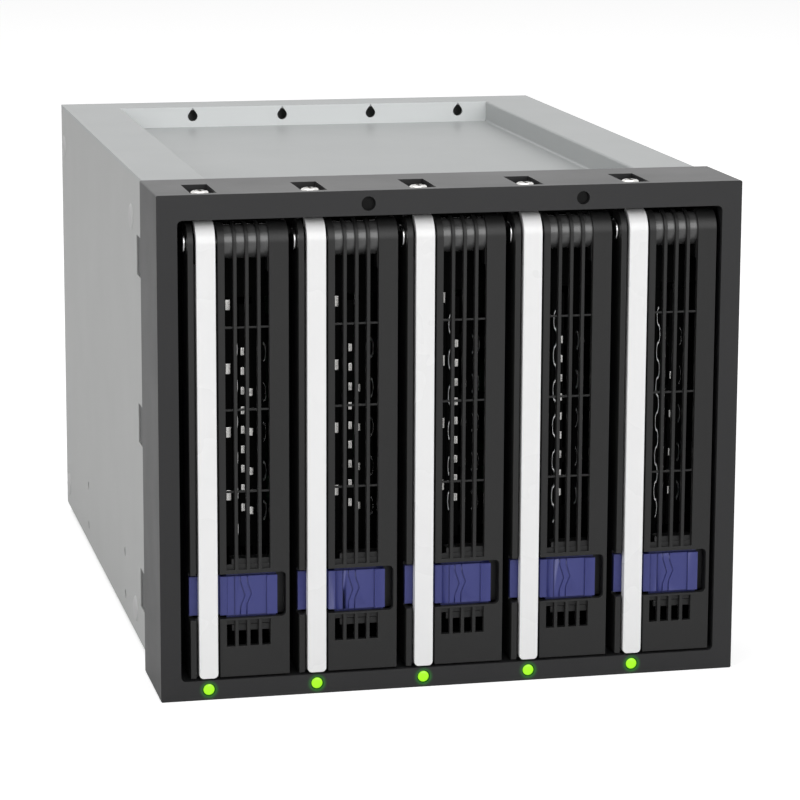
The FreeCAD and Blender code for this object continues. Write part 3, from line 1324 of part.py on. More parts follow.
def build_cage():
    """Build every piece of the cage and its trays."""
    build_bezel()
    build_bezel_fittings()
    build_shell()
    build_rivets()
    build_cover()
    build_rear_panel()
    build_fan_frame()
    build_fan_rotor()
    build_fan_screws()
    build_board()
    build_sockets()
    build_brackets()
    build_guide("lower_guide", FLOOR, GUIDE_TOP, GUIDE_TOP, f"{GUIDE_TOP} + divider_height")
    upper = f"({RAIL_TOP} + guide_clearance)"
    build_guide("upper_guide", upper, CEILING, f"({upper} - divider_height)", upper)
    for tray in range(TRAYS):
        build_sled(tray)
        build_rails(tray)
        build_pin(tray)
        build_door(tray)
        build_strip(tray)
        build_latch(tray)
    doc.recompute()


def check_document():
    """Stop if any feature failed or any sub-part is empty or not valid."""
    for thing in doc.Objects:
        if "Invalid" in thing.State or "Error" in thing.State:
            raise ValueError(f"{thing.Name} failed: {thing.State}")
    for name, thing in nodes.items():
        if thing.Shape.isNull() or not thing.Shape.isValid() or not thing.Shape.Solids:
            raise ValueError(f"{name} has no valid solid")


def write_parts():
    """Write each sub-part to its own file."""
    os.makedirs("parts", exist_ok=True)
    for name, thing in nodes.items():
        thing.Shape.exportStep(f"parts/{name}.step")


build_cage()
check_document()
write_parts()
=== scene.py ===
import logging
import math
from dataclasses import dataclass
from enum import Enum

import bpy
from mathutils import Matrix, Vector


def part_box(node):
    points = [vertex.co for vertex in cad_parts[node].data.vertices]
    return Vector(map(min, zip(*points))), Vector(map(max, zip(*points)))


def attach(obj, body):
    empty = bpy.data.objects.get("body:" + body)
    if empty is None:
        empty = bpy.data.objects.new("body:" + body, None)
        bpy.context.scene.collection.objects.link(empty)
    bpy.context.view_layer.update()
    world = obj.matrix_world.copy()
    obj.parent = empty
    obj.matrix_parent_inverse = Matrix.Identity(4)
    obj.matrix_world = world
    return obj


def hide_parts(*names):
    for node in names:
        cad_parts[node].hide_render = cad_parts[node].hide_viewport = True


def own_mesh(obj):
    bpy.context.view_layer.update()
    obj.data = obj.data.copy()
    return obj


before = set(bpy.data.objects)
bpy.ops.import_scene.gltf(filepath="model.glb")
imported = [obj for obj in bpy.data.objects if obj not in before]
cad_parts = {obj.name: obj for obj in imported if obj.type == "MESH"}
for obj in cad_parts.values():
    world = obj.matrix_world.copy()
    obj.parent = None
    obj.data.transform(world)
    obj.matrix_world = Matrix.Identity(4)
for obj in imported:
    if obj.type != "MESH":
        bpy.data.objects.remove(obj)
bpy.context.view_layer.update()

# Looks of the hot swap drive cage. Lengths are millimetres unless a docstring says otherwise, in the
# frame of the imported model: +X to the right seen from the front, +Y into the cage, +Z up.
# A lamp's halo fades from HALO_INNER to HALO_OUTER round its middle, in front of HALO_BACK along Y.

MM = 0.001
TRAYS = 5
AIR_SLOTS = 4
TRAY_PITCH = 27.5
FIRST_TRAY = -TRAY_PITCH * (TRAYS - 1) / 2
STRIP_OFFSET = -7.4
LAMP_LEVEL = 2.65
HALO_BACK = -103.4
HALO_INNER = 1.3
HALO_OUTER = 2.7
HALO_GREEN = (0.02, 0.42, 0.01, 1.0)
COAT_ROUGHNESS = 0.12
WHITE = (1.0, 1.0, 1.0, 1.0)
AXES = {"X": Vector((1, 0, 0)), "Y": Vector((0, 1, 0)), "Z": Vector((0, 0, 1))}

log = logging.getLogger("drive_cage")

Place = tuple[float, float, float]
Group = tuple[bpy.types.NodeTree, bpy.types.Node, bpy.types.Node]


# ------------------------------------------------------------------ shared shader groups
class Socket(Enum):
    """Kinds of group socket."""

    VALUE = "NodeSocketFloat"
    COLOUR = "NodeSocketColor"
    VECTOR = "NodeSocketVector"


def new_group(name: str, inputs: list[tuple[str, Socket, object]],
              outputs: list[tuple[str, Socket]]) -> Group:
    """Start a shader group with named sockets.

    Args:
        name: The group's name.
        inputs: Name, kind and starting value of each input.
        outputs: Name and kind of each output.

    Returns:
        The group, its input node and its output node.
    """
    tree = bpy.data.node_groups.new(name, "ShaderNodeTree")
    for label, kind, value in inputs:
        made = tree.interface.new_socket(label, in_out="INPUT", socket_type=kind.value)
        made.default_value = value
    for label, kind in outputs:
        tree.interface.new_socket(label, in_out="OUTPUT", socket_type=kind.value)
    return tree, tree.nodes.new("NodeGroupInput"), tree.nodes.new("NodeGroupOutput")


def moulded_grain() -> bpy.types.NodeTree:
    """Make the fine texture of moulded or painted surfaces.

    Returns:
        A group that puts out a normal and a roughness.
    """
    tree, start, end = new_group(
        "moulded_grain",
        [("Scale", Socket.VALUE, 900.0), ("Depth", Socket.VALUE, 0.1), ("Roughness", Socket.VALUE, 0.4),
         ("Spread", Socket.VALUE, 0.1)],
        [("Normal", Socket.VECTOR), ("Roughness", Socket.VALUE)],
    )
    link = tree.links.new
    place = tree.nodes.new("ShaderNodeTexCoord")
    fine = tree.nodes.new("ShaderNodeTexNoise")
    fine.inputs["Detail"].default_value = 2.0
    link(place.outputs["Object"], fine.inputs["Vector"])
    link(start.outputs["Scale"], fine.inputs["Scale"])
    bump = tree.nodes.new("ShaderNodeBump")
    bump.inputs["Distance"].default_value = 0.05 * MM
    link(start.outputs["Depth"], bump.inputs["Strength"])
    link(fine.outputs["Fac"], bump.inputs["Height"])
    broad = tree.nodes.new("ShaderNodeTexNoise")
    broad.inputs["Scale"].default_value = 45.0
    broad.inputs["Detail"].default_value = 3.0
    link(place.outputs["Object"], broad.inputs["Vector"])
    centred = tree.nodes.new("ShaderNodeMath")
    centred.operation = "SUBTRACT"
    centred.inputs[1].default_value = 0.5
    link(broad.outputs["Fac"], centred.inputs[0])
    spread = tree.nodes.new("ShaderNodeMath")
    spread.operation = "MULTIPLY_ADD"
    link(centred.outputs[0], spread.inputs[0])
    link(start.outputs["Spread"], spread.inputs[1])
    link(start.outputs["Roughness"], spread.inputs[2])
    link(bump.outputs["Normal"], end.inputs["Normal"])
    link(spread.outputs[0], end.inputs["Roughness"])
    return tree


def lamp_halo() -> bpy.types.NodeTree:
    """Make the faint glow that each lit lamp throws on the bezel's front round it.

    Returns:
        A group that puts out a colour, brightest at a lamp's rim and black away from it.
    """
    tree, start, end = new_group(
        "lamp_halo",
        [("Colour", Socket.COLOUR, HALO_GREEN), ("Strength", Socket.VALUE, 0.5)],
        [("Glow", Socket.COLOUR)],
    )
    link = tree.links.new

    def step(operation: str, source: bpy.types.NodeSocket, *others: object) -> bpy.types.NodeSocket:
        """Add one sum to the group.

        Args:
            operation: The sum's kind.
            source: The socket that it starts from.
            others: Its other inputs, as sockets or numbers.

        Returns:
            The socket of its result.
        """
        node = tree.nodes.new("ShaderNodeMath")
        node.operation = operation
        link(source, node.inputs[0])
        for index, value in enumerate(others, start=1):
            if isinstance(value, float):
                node.inputs[index].default_value = value
            else:
                link(value, node.inputs[index])
        return node.outputs[0]

    place = tree.nodes.new("ShaderNodeTexCoord")
    split = tree.nodes.new("ShaderNodeSeparateXYZ")
    link(place.outputs["Object"], split.inputs[0])
    first = (FIRST_TRAY + STRIP_OFFSET) * MM
    half = TRAY_PITCH * MM / 2
    across = step("WRAP", step("SUBTRACT", split.outputs["X"], first), half, -half)
    up = step("SUBTRACT", split.outputs["Z"], LAMP_LEVEL * MM)
    apart = step("SQRT", step("ADD", step("MULTIPLY", across, across), step("MULTIPLY", up, up)))
    fade = tree.nodes.new("ShaderNodeMapRange")
    fade.interpolation_type = "SMOOTHSTEP"
    link(apart, fade.inputs["Value"])
    fade.inputs["From Min"].default_value = HALO_INNER * MM
    fade.inputs["From Max"].default_value = HALO_OUTER * MM
    fade.inputs["To Min"].default_value = 1.0
    fade.inputs["To Max"].default_value = 0.0
    front = step("LESS_THAN", split.outputs["Y"], HALO_BACK * MM)
    inside = step("LESS_THAN", split.outputs["X"], -first)
    mask = step("MULTIPLY", step("MULTIPLY", fade.outputs["Result"], front), inside)
    glow = tree.nodes.new("ShaderNodeVectorMath")
    glow.operation = "SCALE"
    link(start.outputs["Colour"], glow.inputs[0])
    link(step("MULTIPLY", mask, start.outputs["Strength"]), glow.inputs["Scale"])
    link(glow.outputs[0], end.inputs["Glow"])
    return tree


def soft_mottle() -> bpy.types.NodeTree:
    """Make the slow change of tone over a painted, plated or moulded surface.

    Returns:
        A group that puts out a colour.
    """
    tree, start, end = new_group(
        "soft_mottle",
        [("Colour", Socket.COLOUR, (0.5, 0.5, 0.5, 1.0)), ("Amount", Socket.VALUE, 0.05),
         ("Scale", Socket.VALUE, 20.0)],
        [("Colour", Socket.COLOUR)],
    )
    link = tree.links.new
    place = tree.nodes.new("ShaderNodeTexCoord")
    noise = tree.nodes.new("ShaderNodeTexNoise")
    noise.inputs["Detail"].default_value = 5.0
    noise.inputs["Roughness"].default_value = 0.6
    link(place.outputs["Object"], noise.inputs["Vector"])
    link(start.outputs["Scale"], noise.inputs["Scale"])
    level = tree.nodes.new("ShaderNodeMath")
    level.operation = "SUBTRACT"
    level.inputs[1].default_value = 0.5
    link(noise.outputs["Fac"], level.inputs[0])
    tone = tree.nodes.new("ShaderNodeMath")
    tone.operation = "MULTIPLY_ADD"
    tone.inputs[2].default_value = 1.0
    link(level.outputs[0], tone.inputs[0])
    link(start.outputs["Amount"], tone.inputs[1])
    shade = tree.nodes.new("ShaderNodeVectorMath")
    shade.operation = "SCALE"
    link(start.outputs["Colour"], shade.inputs[0])
    link(tone.outputs[0], shade.inputs["Scale"])
    link(shade.outputs[0], end.inputs["Colour"])
    return tree


@dataclass(frozen=True)
class Finish:
    """One finish: its colour, sheen, grain, tone and glow, and the record's slot that it stands for."""

    name: str
    slot: str
    colour: Place
    roughness: float
    metallic: float = 0.0
    specular: float = 0.5
    coat: float = 0.0
    glow: float = 0.0
    grain_scale: float = 1400.0
    grain_depth: float = 0.15
    spread: float = 0.12
    mottle: float = 0.08
    mottle_scale: float = 25.0
    halo: float = 0.0

    def material(self) -> bpy.types.Material:
        """Build the material once and return it each time.

        Returns:
            The material.
        """
        known = bpy.data.materials.get(self.name)
        if known:
            return known
        made = bpy.data.materials.new(self.name)
        made.use_nodes = True
        tree = made.node_tree
        shader = tree.nodes["Principled BSDF"]
        shader.inputs["Metallic"].default_value = self.metallic
        shader.inputs["Specular IOR Level"].default_value = self.specular
        shader.inputs["Coat Weight"].default_value = self.coat
        shader.inputs["Coat Roughness"].default_value = COAT_ROUGHNESS
        if self.glow:
            shader.inputs["Emission Color"].default_value = (*self.colour, 1.0)
            shader.inputs["Emission Strength"].default_value = self.glow
        if self.halo:
            shine = tree.nodes.new("ShaderNodeGroup")
            shine.node_tree = bpy.data.node_groups.get("lamp_halo") or lamp_halo()
            shine.inputs["Strength"].default_value = self.halo
            shader.inputs["Emission Strength"].default_value = 1.0
            tree.links.new(shine.outputs["Glow"], shader.inputs["Emission Color"])
        grain = tree.nodes.new("ShaderNodeGroup")
        grain.node_tree = bpy.data.node_groups.get("moulded_grain") or moulded_grain()
        for label, value in (("Scale", self.grain_scale), ("Depth", self.grain_depth),
                             ("Roughness", self.roughness), ("Spread", self.spread)):
            grain.inputs[label].default_value = value
        tree.links.new(grain.outputs["Normal"], shader.inputs["Normal"])
        tree.links.new(grain.outputs["Roughness"], shader.inputs["Roughness"])
        shader.inputs["Base Color"].default_value = (*self.colour, 1.0)
        if self.mottle:
            tone = tree.nodes.new("ShaderNodeGroup")
            tone.node_tree = bpy.data.node_groups.get("soft_mottle") or soft_mottle()
            tone.inputs["Colour"].default_value = (*self.colour, 1.0)
            tone.inputs["Amount"].default_value = self.mottle
            tone.inputs["Scale"].default_value = self.mottle_scale
            tree.links.new(tone.outputs["Colour"], shader.inputs["Base Color"])
        return made


BEZEL_BLACK = Finish("bezel_black_plastic", "bezel_black", (0.0215, 0.0215, 0.0225), 0.38, specular=0.35,
                     grain_depth=0.2, halo=0.3)
DOOR_BLACK = Finish("door_black_plastic", "door_black", (0.0195, 0.0195, 0.0195), 0.40, specular=0.3,
                    grain_depth=0.2)
STRIP_WHITE = Finish("strip_white_plastic", "strip_white", (0.93, 0.93, 0.93), 0.28, coat=0.3,
                     grain_depth=0.05, mottle=0.02)
LATCH_BLUE = Finish("latch_blue_plastic", "latch_blue", (0.040, 0.047, 0.205), 0.34, grain_depth=0.1)
SHELL_GREY = Finish("shell_grey_steel", "shell_steel", (0.43, 0.435, 0.43), 0.42, metallic=0.15,
                    grain_scale=2200.0, grain_depth=0.2, mottle=0.05, mottle_scale=18.0)
COVER_GREY = Finish("cover_grey_steel", "cover_steel", (0.42, 0.434, 0.434), 0.42, metallic=0.15,
                    grain_scale=2200.0, grain_depth=0.2, mottle=0.05, mottle_scale=18.0)
# Painted light: a paler copy of the cover's grey for the rear lip's forward faces, as if lit from the front.
LIP_PAINTED_LIGHT = Finish("lip_grey_steel", "cover_steel", (0.78, 0.80, 0.80), 0.42, metallic=0.1,
                  grain_scale=2200.0, grain_depth=0.2, mottle=0.05, mottle_scale=18.0)
# Painted highlight: a paler copy of the door's black for the sleeves on the hinge barrel.
BARREL_PAINTED_HIGHLIGHT = Finish("barrel_satin_plastic", "door_black", (0.075, 0.075, 0.075), 0.26, specular=0.7,
                      mottle=0.02)
RIVET_GREY = Finish("rivet_dull_steel", "pin_steel", (0.50, 0.50, 0.50), 0.5, metallic=0.2, mottle=0.06)
# The sleds' black steel, darkened further to paint the shade deep inside the cage.
SLED_BLACK_AND_SHADE = Finish("sled_black_steel", "sled_black", (0.0015, 0.0015, 0.0015), 0.65, specular=0.05)
# Painted shade: a near-black sheet that stands where the cage's inside is only in shade.
SHADE_SHEET_BLACK = Finish("gauze_black_cloth", "guide_black", (0.002, 0.002, 0.002), 0.8, specular=0.05,
                     mottle=0.0)
RAIL_BLACK = Finish("rail_black_nylon", "rail_black", (0.006, 0.006, 0.006), 0.55, specular=0.2)
GUIDE_BLACK = Finish("guide_black_nylon", "guide_black", (0.006, 0.006, 0.006), 0.55, specular=0.2)
PIN_STEEL = Finish("pin_bright_steel", "pin_steel", (0.72, 0.72, 0.72), 0.22, metallic=1.0, mottle=0.06)
FINGER_SATIN = Finish("finger_satin_steel", "pin_steel", (0.95, 0.95, 0.95), 0.28, metallic=1.0, mottle=0.06)
NICKEL = Finish("screw_nickel_plate", "screw_nickel", (0.78, 0.77, 0.75), 0.2, metallic=1.0, mottle=0.08,
                mottle_scale=300.0)
ZINC = Finish("bracket_zinc_steel", "bracket_steel", (0.55, 0.56, 0.57), 0.35, metallic=0.9, mottle=0.25,
              mottle_scale=60.0)
LAMP_GREEN = Finish("lamp_green_lit", "pipe_green", (0.22, 0.54, 0.008), 0.2, glow=1.1, mottle=0.0)
LAMP_RING = Finish("lamp_green_rim", "pipe_green", (0.02, 0.11, 0.01), 0.25, mottle=0.0)
# Painted shade: the clear status lens is coloured near black for the shade of its hole; the button's black
# plastic is darkened further the same way.
LENS_PAINTED_SHADE = Finish("lens_dark_clear", "lens_clear", (0.002, 0.002, 0.002), 0.3, specular=0.15, mottle=0.0)
BUTTON_BLACK_AND_SHADE = Finish("button_black_plastic", "button_black", (0.002, 0.002, 0.002), 0.5, specular=0.15)
BOARD_GREEN = Finish("board_green_resist", "board_green", (0.015, 0.09, 0.035), 0.3, mottle=0.3,
                     mottle_scale=160.0)
SOCKET_BLACK = Finish("socket_black_plastic", "socket_black", (0.012, 0.012, 0.012), 0.4)
POWER_IVORY = Finish("power_ivory_plastic", "power_ivory", (0.72, 0.69, 0.58), 0.4)
FAN_BLACK = Finish("fan_black_plastic", "fan_black", (0.014, 0.014, 0.015), 0.45)


# ------------------------------------------------------------------ modelling helpers
def focus(piece: bpy.types.Object) -> None:
    """Deselect everything, then select one object and make it active.

    Args:
        piece: The object.
    """
    if bpy.context.object and bpy.context.object.mode != "OBJECT":
        bpy.ops.object.mode_set(mode="OBJECT")
    bpy.ops.object.select_all(action="DESELECT")
    piece.select_set(True)
    bpy.context.view_layer.objects.active = piece


def settle(piece: bpy.types.Object) -> bpy.types.Object:
    """Move an object's place, turn and scale into its mesh.

    Args:
        piece: The object.

    Returns:
        The same object.
    """
    focus(piece)
    bpy.ops.object.transform_apply(location=True, rotation=True, scale=True)
    return piece


def named(name: str) -> bpy.types.Object:
    """Name the object that an operator has just added, and its mesh.

    Args:
        name: The name of both.

    Returns:
        The object.
    """
    piece = bpy.context.object
    piece.name = name
    piece.data.name = name
    return piece


def block(name: str, low: Place, high: Place) -> bpy.types.Object:
    """Add a block between two corners in millimetres.

    Args:
        name: The new object's name.
        low: Its lowest corner.
        high: Its highest corner.

    Returns:
        The block.
    """
    bpy.ops.object.select_all(action="DESELECT")
    middle = [(a + b) / 2 * MM for a, b in zip(low, high)]
    bpy.ops.mesh.primitive_cube_add(size=1.0, location=middle)
    piece = named(name)
    piece.scale = [(b - a) * MM for a, b in zip(low, high)]
    return settle(piece)


def direction(axis: str) -> Vector:
    """Give the direction that an axis such as X or -Y names."""
    return -AXES[axis[-1]] if axis.startswith("-") else AXES[axis[-1]]


def turned(name: str, foot: Place, axis: str, radius: float, length: float, sides: int = 32,
           tip: float | None = None) -> bpy.types.Object:
    """Add a cylinder, or a cone where tip is given, that runs from a point along an axis.

    Args:
        name: The new object's name.
        foot: The middle of its first end, in millimetres.
        axis: X, Y or Z, with a minus sign to run the other way.
        radius: Its radius in millimetres at the first end.
        length: Its length in millimetres.
        sides: How many flats go round it.
        tip: Its radius at the other end, where that differs.

    Returns:
        The turned piece.
    """
    along = direction(axis)
    turn = AXES["Z"].rotation_difference(along).to_euler()
    middle = Vector(foot) * MM + along * length * MM / 2
    bpy.ops.object.select_all(action="DESELECT")
    bpy.ops.mesh.primitive_cone_add(vertices=sides, radius1=radius * MM, depth=length * MM, location=middle,
                                    radius2=(radius if tip is None else tip) * MM, rotation=turn)
    return settle(named(name))


def dome(name: str, foot: Place, axis: str, radius: float, height: float,
         sides: int = 32) -> bpy.types.Object:
    """Add a low dome on a flat foot, made from a sphere that is cut and pressed.

    Args:
        name: The new object's name.
        foot: The middle of its flat side, in millimetres.
        axis: X, Y or Z, with a minus sign to face the other way.
        radius: The radius of its flat side in millimetres.
        height: Its height in millimetres.
        sides: How many flats go round it.

    Returns:
        The dome.
    """
    bpy.ops.object.select_all(action="DESELECT")
    bpy.ops.mesh.primitive_uv_sphere_add(segments=sides, ring_count=sides // 2, radius=1.0)
    piece = named(name)
    focus(piece)
    bpy.ops.object.mode_set(mode="EDIT")
    bpy.ops.mesh.select_all(action="SELECT")
    bpy.ops.mesh.bisect(plane_co=(0, 0, 0), plane_no=(0, 0, 1), clear_inner=True, use_fill=True)
    bpy.ops.object.mode_set(mode="OBJECT")
    piece.scale = (radius * MM, radius * MM, height * MM)
    settle(piece)
    piece.rotation_euler = AXES["Z"].rotation_difference(direction(axis)).to_euler()
    piece.location = Vector(foot) * MM
    return settle(piece)


def join(name: str, pieces: list[bpy.types.Object]) -> bpy.types.Object:
    """Join objects into one and name it.

    Args:
        name: The joined object's name.
        pieces: The objects, which all end in the first.

    Returns:
        The joined object.
    """
    focus(pieces[0])
    for piece in pieces[1:]:
        piece.select_set(True)
    bpy.ops.object.join()
    return named(name)


def carve(piece: bpy.types.Object, tools: list[bpy.types.Object]) -> bpy.types.Object:
    """Cut tools out of a piece and remove the tools.

    Args:
        piece: The piece.
        tools: The closed shapes to cut out of it.

    Returns:
        The piece.
    """
    for tool in tools:
        focus(piece)
        cutter = piece.modifiers.new("carve", "BOOLEAN")
        cutter.operation = "DIFFERENCE"
        cutter.solver = "EXACT"
        cutter.object = tool
        bpy.ops.object.modifier_apply(modifier=cutter.name)
        bpy.data.objects.remove(tool)
    return piece


def copy_of(node: str, name: str) -> bpy.types.Object:
    """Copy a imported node's mesh as a new piece with its doubled corners merged.

    Args:
        node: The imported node.
        name: The new piece's name.

    Returns:
        The new piece.
    """
    piece = bpy.data.objects.new(name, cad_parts[node].data.copy())
    piece.data.name = name
    piece.data.materials.clear()
    bpy.context.scene.collection.objects.link(piece)
    focus(piece)
    bpy.ops.object.mode_set(mode="EDIT")
    bpy.ops.mesh.select_all(action="SELECT")
    bpy.ops.mesh.remove_doubles(threshold=0.002 * MM)
    bpy.ops.mesh.dissolve_limited(angle_limit=math.radians(0.2))
    bpy.ops.object.mode_set(mode="OBJECT")
    return piece


def soften(piece: bpy.types.Object, width: float, segments: int = 2, angle: float = 40.0) -> bpy.types.Object:
    """Round a piece's sharp edges and smooth its shading.

    Args:
        piece: The piece.
        width: The width of the rounding in millimetres.
        segments: How many flats make up the rounding.
        angle: The least angle in degrees of an edge that is rounded.

    Returns:
        The piece.
    """
    focus(piece)
    edge = piece.modifiers.new("soft_edges", "BEVEL")
    edge.width = width * MM
    edge.segments = segments
    edge.limit_method = "ANGLE"
    edge.angle_limit = math.radians(angle)
    edge.use_clamp_overlap = True
    bpy.ops.object.modifier_apply(modifier=edge.name)
    return smooth(piece)


def smooth(piece: bpy.types.Object, angle: float = 50.0) -> bpy.types.Object:
    """Shade a piece smooth up to an angle in degrees, with its broad faces kept flat.

    Args:
        piece: The piece.
        angle: The least angle of an edge that stays sharp.

    Returns:
        The piece.
    """
    focus(piece)
    bpy.ops.object.shade_smooth_by_angle(angle=math.radians(angle))
    flat = piece.modifiers.new("flat_faces", "WEIGHTED_NORMAL")
    flat.mode = "FACE_AREA"
    flat.weight = 100
    flat.keep_sharp = True
    bpy.ops.object.modifier_apply(modifier=flat.name)
    return piece


def moved(piece: bpy.types.Object, name: str, offset: Place) -> bpy.types.Object:
    """Copy a piece, with a mesh of its own, to another place.

    Args:
        piece: The piece to copy.
        name: The copy's name.
        offset: How far it is moved, in millimetres.

    Returns:
        The copy.
    """
    copy = piece.copy()
    copy.data = piece.data.copy()
    copy.name = name
    copy.data.name = name
    bpy.context.scene.collection.objects.link(copy)
    copy.data.transform(Matrix.Translation(Vector(offset) * MM))
    return copy


def dress(piece: bpy.types.Object, finish: Finish, body: str, *stands_for: str) -> bpy.types.Object:
    """Give a new piece its finish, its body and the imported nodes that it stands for.

    Args:
        piece: The piece, in place.
        finish: Its finish.
        body: The body that it moves with.
        stands_for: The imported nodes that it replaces.

    Returns:
        The piece.
    """
    piece.data.materials.clear()
    piece.data.materials.append(finish.material())
    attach(piece, body)
    if stands_for:
        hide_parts(*stands_for)
    log.info("%s rides on %s in %s", piece.name, body, finish.name)
    return piece


def paint(node: str, finish: Finish) -> None:
    """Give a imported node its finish.

    Args:
        node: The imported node.
        finish: Its finish.
    """
    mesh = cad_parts[node].data
    mesh.materials.clear()
    mesh.materials.append(finish.material())
    log.info("%s keeps its packed shape in %s", node, finish.name)


def tray_column(tray: int) -> float:
    """Give the middle of a tray along X in millimetres, counted from 0."""
    return FIRST_TRAY + tray * TRAY_PITCH


def dress_trays(piece: bpy.types.Object, finish: Finish, body: str, node: str = "") -> None:
    """Copy the first tray's piece to the other trays, then dress the copies and the piece.

    Args:
        piece: The first tray's piece, whose name ends in 1.
        finish: The finish of them all.
        body: The stem of the bodies that they ride on.
        node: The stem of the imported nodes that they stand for, where they stand for any.
    """
    stem = piece.name[:-1]
    for tray in [*range(1, TRAYS), 0]:
        copy = moved(piece, f"{stem}{tray + 1}", (tray * TRAY_PITCH, 0, 0)) if tray else piece
        stands = (f"{node}_{tray + 1}",) if node else ()
        dress(copy, finish, f"{body}_{tray + 1}", *stands)


# ------------------------------------------------------------------ the bezel
@dataclass
class Bezel:
    """The moulded bezel with its lamps, top screws, status lens and reset button."""

    edge: float = 0.35
    lamp_radius: float = 1.6
    lamp_edge: float = 0.12
    lamp_gap: float = 0.02
    lamp_core: float = 1.42
    lamp_bulge: float = 0.3
    screw_y: float = -95.25
    screw_seat: float = 124.3
    screw_radius: float = 2.85
    screw_height: float = 3.0
    screw_taper: float = 0.82
    screw_edge: float = 0.9
    cross_reach: float = 1.5
    cross_half: float = 0.42
    cross_depth: float = 1.3

    def build(self) -> None:
        """Build and dress every piece of the bezel."""
        moulding = soften(copy_of("bezel_frame", "bezel_moulding"), self.edge)
        dress(moulding, BEZEL_BLACK, "cage", "bezel_frame")
        self.build_lamps()
        self.build_screws()
        # The lens and button colours paint the shade of their holes.
        paint("status_lens", LENS_PAINTED_SHADE)
        paint("reset_button", BUTTON_BLACK_AND_SHADE)
        paint("reset_switch", SOCKET_BLACK)

    def build_lamps(self) -> None:
        """Model a domed lit core in a dark green rim for each tray, with its light pipe behind."""
        low, high = (corner.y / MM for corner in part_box("light_pipes"))
        for tray in range(TRAYS):
            x = tray_column(tray) + STRIP_OFFSET
            rim = turned(f"rim_{tray}", (x, low, LAMP_LEVEL), "Y", self.lamp_radius, high - low)
            soften(rim, self.lamp_edge)
            foot = (x, low + self.lamp_gap, LAMP_LEVEL)
            core = smooth(dome("core", foot, "-Y", self.lamp_core, self.lamp_bulge, 24))
            stands = ("light_pipes",) if tray == 0 else ()
            dress(rim, LAMP_RING, "cage", *stands).name = f"lamp_pipe_{tray + 1}"
            dress(core, LAMP_GREEN, "cage").name = f"lamp_core_{tray + 1}"

    def build_screws(self) -> None:
        """Model one pan head with a cross recess and copy it to each pocket."""
        foot = (tray_column(0) + STRIP_OFFSET, self.screw_y, self.screw_seat)
        head = turned("bezel_screw_1", foot, "Z", self.screw_radius, self.screw_height, 40,
                      self.screw_radius * self.screw_taper)
        soften(head, self.screw_edge, 4)
        tip = (foot[0], foot[1], self.screw_seat + self.screw_height)
        carve(head, cross_tools(tip, "Z", self.cross_reach, self.cross_half, self.cross_depth))
        for tray in range(1, TRAYS):
            dress(moved(head, f"bezel_screw_{tray + 1}", (tray * TRAY_PITCH, 0, 0)), NICKEL, "cage")
        dress(head, NICKEL, "cage", "bezel_screws")


def cross_tools(tip: Place, axis: str, reach: float, half: float, depth: float) -> list[bpy.types.Object]:
    """Make two crossed blocks that cut a cross recess into a screw's head.

    Args:
        tip: The middle of the head's top, in millimetres.
        axis: Z for a head that faces up, or Y for one that faces back.
        reach: How far each arm runs from the middle.
        half: Half the width of an arm.
        depth: How deep the recess goes.

    Returns:
        The two blocks.
    """
    tools = []
    for wide, narrow in ((reach, half), (half, reach)):
        x, y, z = tip
        if axis == "Z":
            low, high = (x - wide, y - narrow, z - depth), (x + wide, y + narrow, z + depth)
        else:
            low, high = (x - wide, y - depth, z - narrow), (x + wide, y + depth, z + narrow)
        tools.append(block(f"cross_{len(tools)}", low, high))
    return tools


# ------------------------------------------------------------------ the steel housing
@dataclass
class Housing:
    """The folded shell, its cover, the rear panel and the rivets."""

    edge: float = 0.3
    panel_edge: float = 0.15
    wall: float = 73.0
    rivet_radius: float = 3.4
    rivet_height: float = 0.6
    rivet_angle: float = 60.0
    # Where the painted light on the rear lip begins along Y, and how far forward its faces must look.
    lip_front: float = 85.0
    lip_lean: float = -0.9

    def build(self) -> None:
        """Build and dress the housing, with painted light on the cover's rear lip: its faces that look
        forward get a paler copy of the cover's grey.
        """
        shell = soften(copy_of("shell_body", "shell_folded"), self.edge)
        dress(shell, SHELL_GREY, "cage", "shell_body")
        cover = soften(copy_of("top_cover", "cover_folded"), self.edge)
        dress(cover, COVER_GREY, "cage", "top_cover")
        # Painted light: the lip's faces that look forward take the paler grey in the second slot.
        cover.data.materials.append(LIP_PAINTED_LIGHT.material())
        for face in cover.data.polygons:
            if face.normal.y < self.lip_lean and face.center.y > self.lip_front * MM:
                face.material_index = 1
        rear = soften(copy_of("rear_panel", "rear_punched"), self.panel_edge)
        dress(rear, SHELL_GREY, "cage", "rear_panel")
        self.build_rivets()

    def build_rivets(self) -> None:
        """Model a domed rivet head at each of its places in both side walls."""
        places = [(-49.0, 114.4), (-49.0, 9.5), (98.0, 114.4), (98.0, 9.5)]
        for side, axis in ((-1, "-X"), (1, "X")):
            for index, (y, z) in enumerate(places, start=1):
                name = f"rivet_{'left' if side < 0 else 'right'}_{index}"
                head = dome(name, (side * self.wall, y, z), axis, self.rivet_radius, self.rivet_height)
                smooth(head, self.rivet_angle)
                stands = ("side_rivets",) if side < 0 and index == 1 else ()
                dress(head, RIVET_GREY, "cage", *stands)


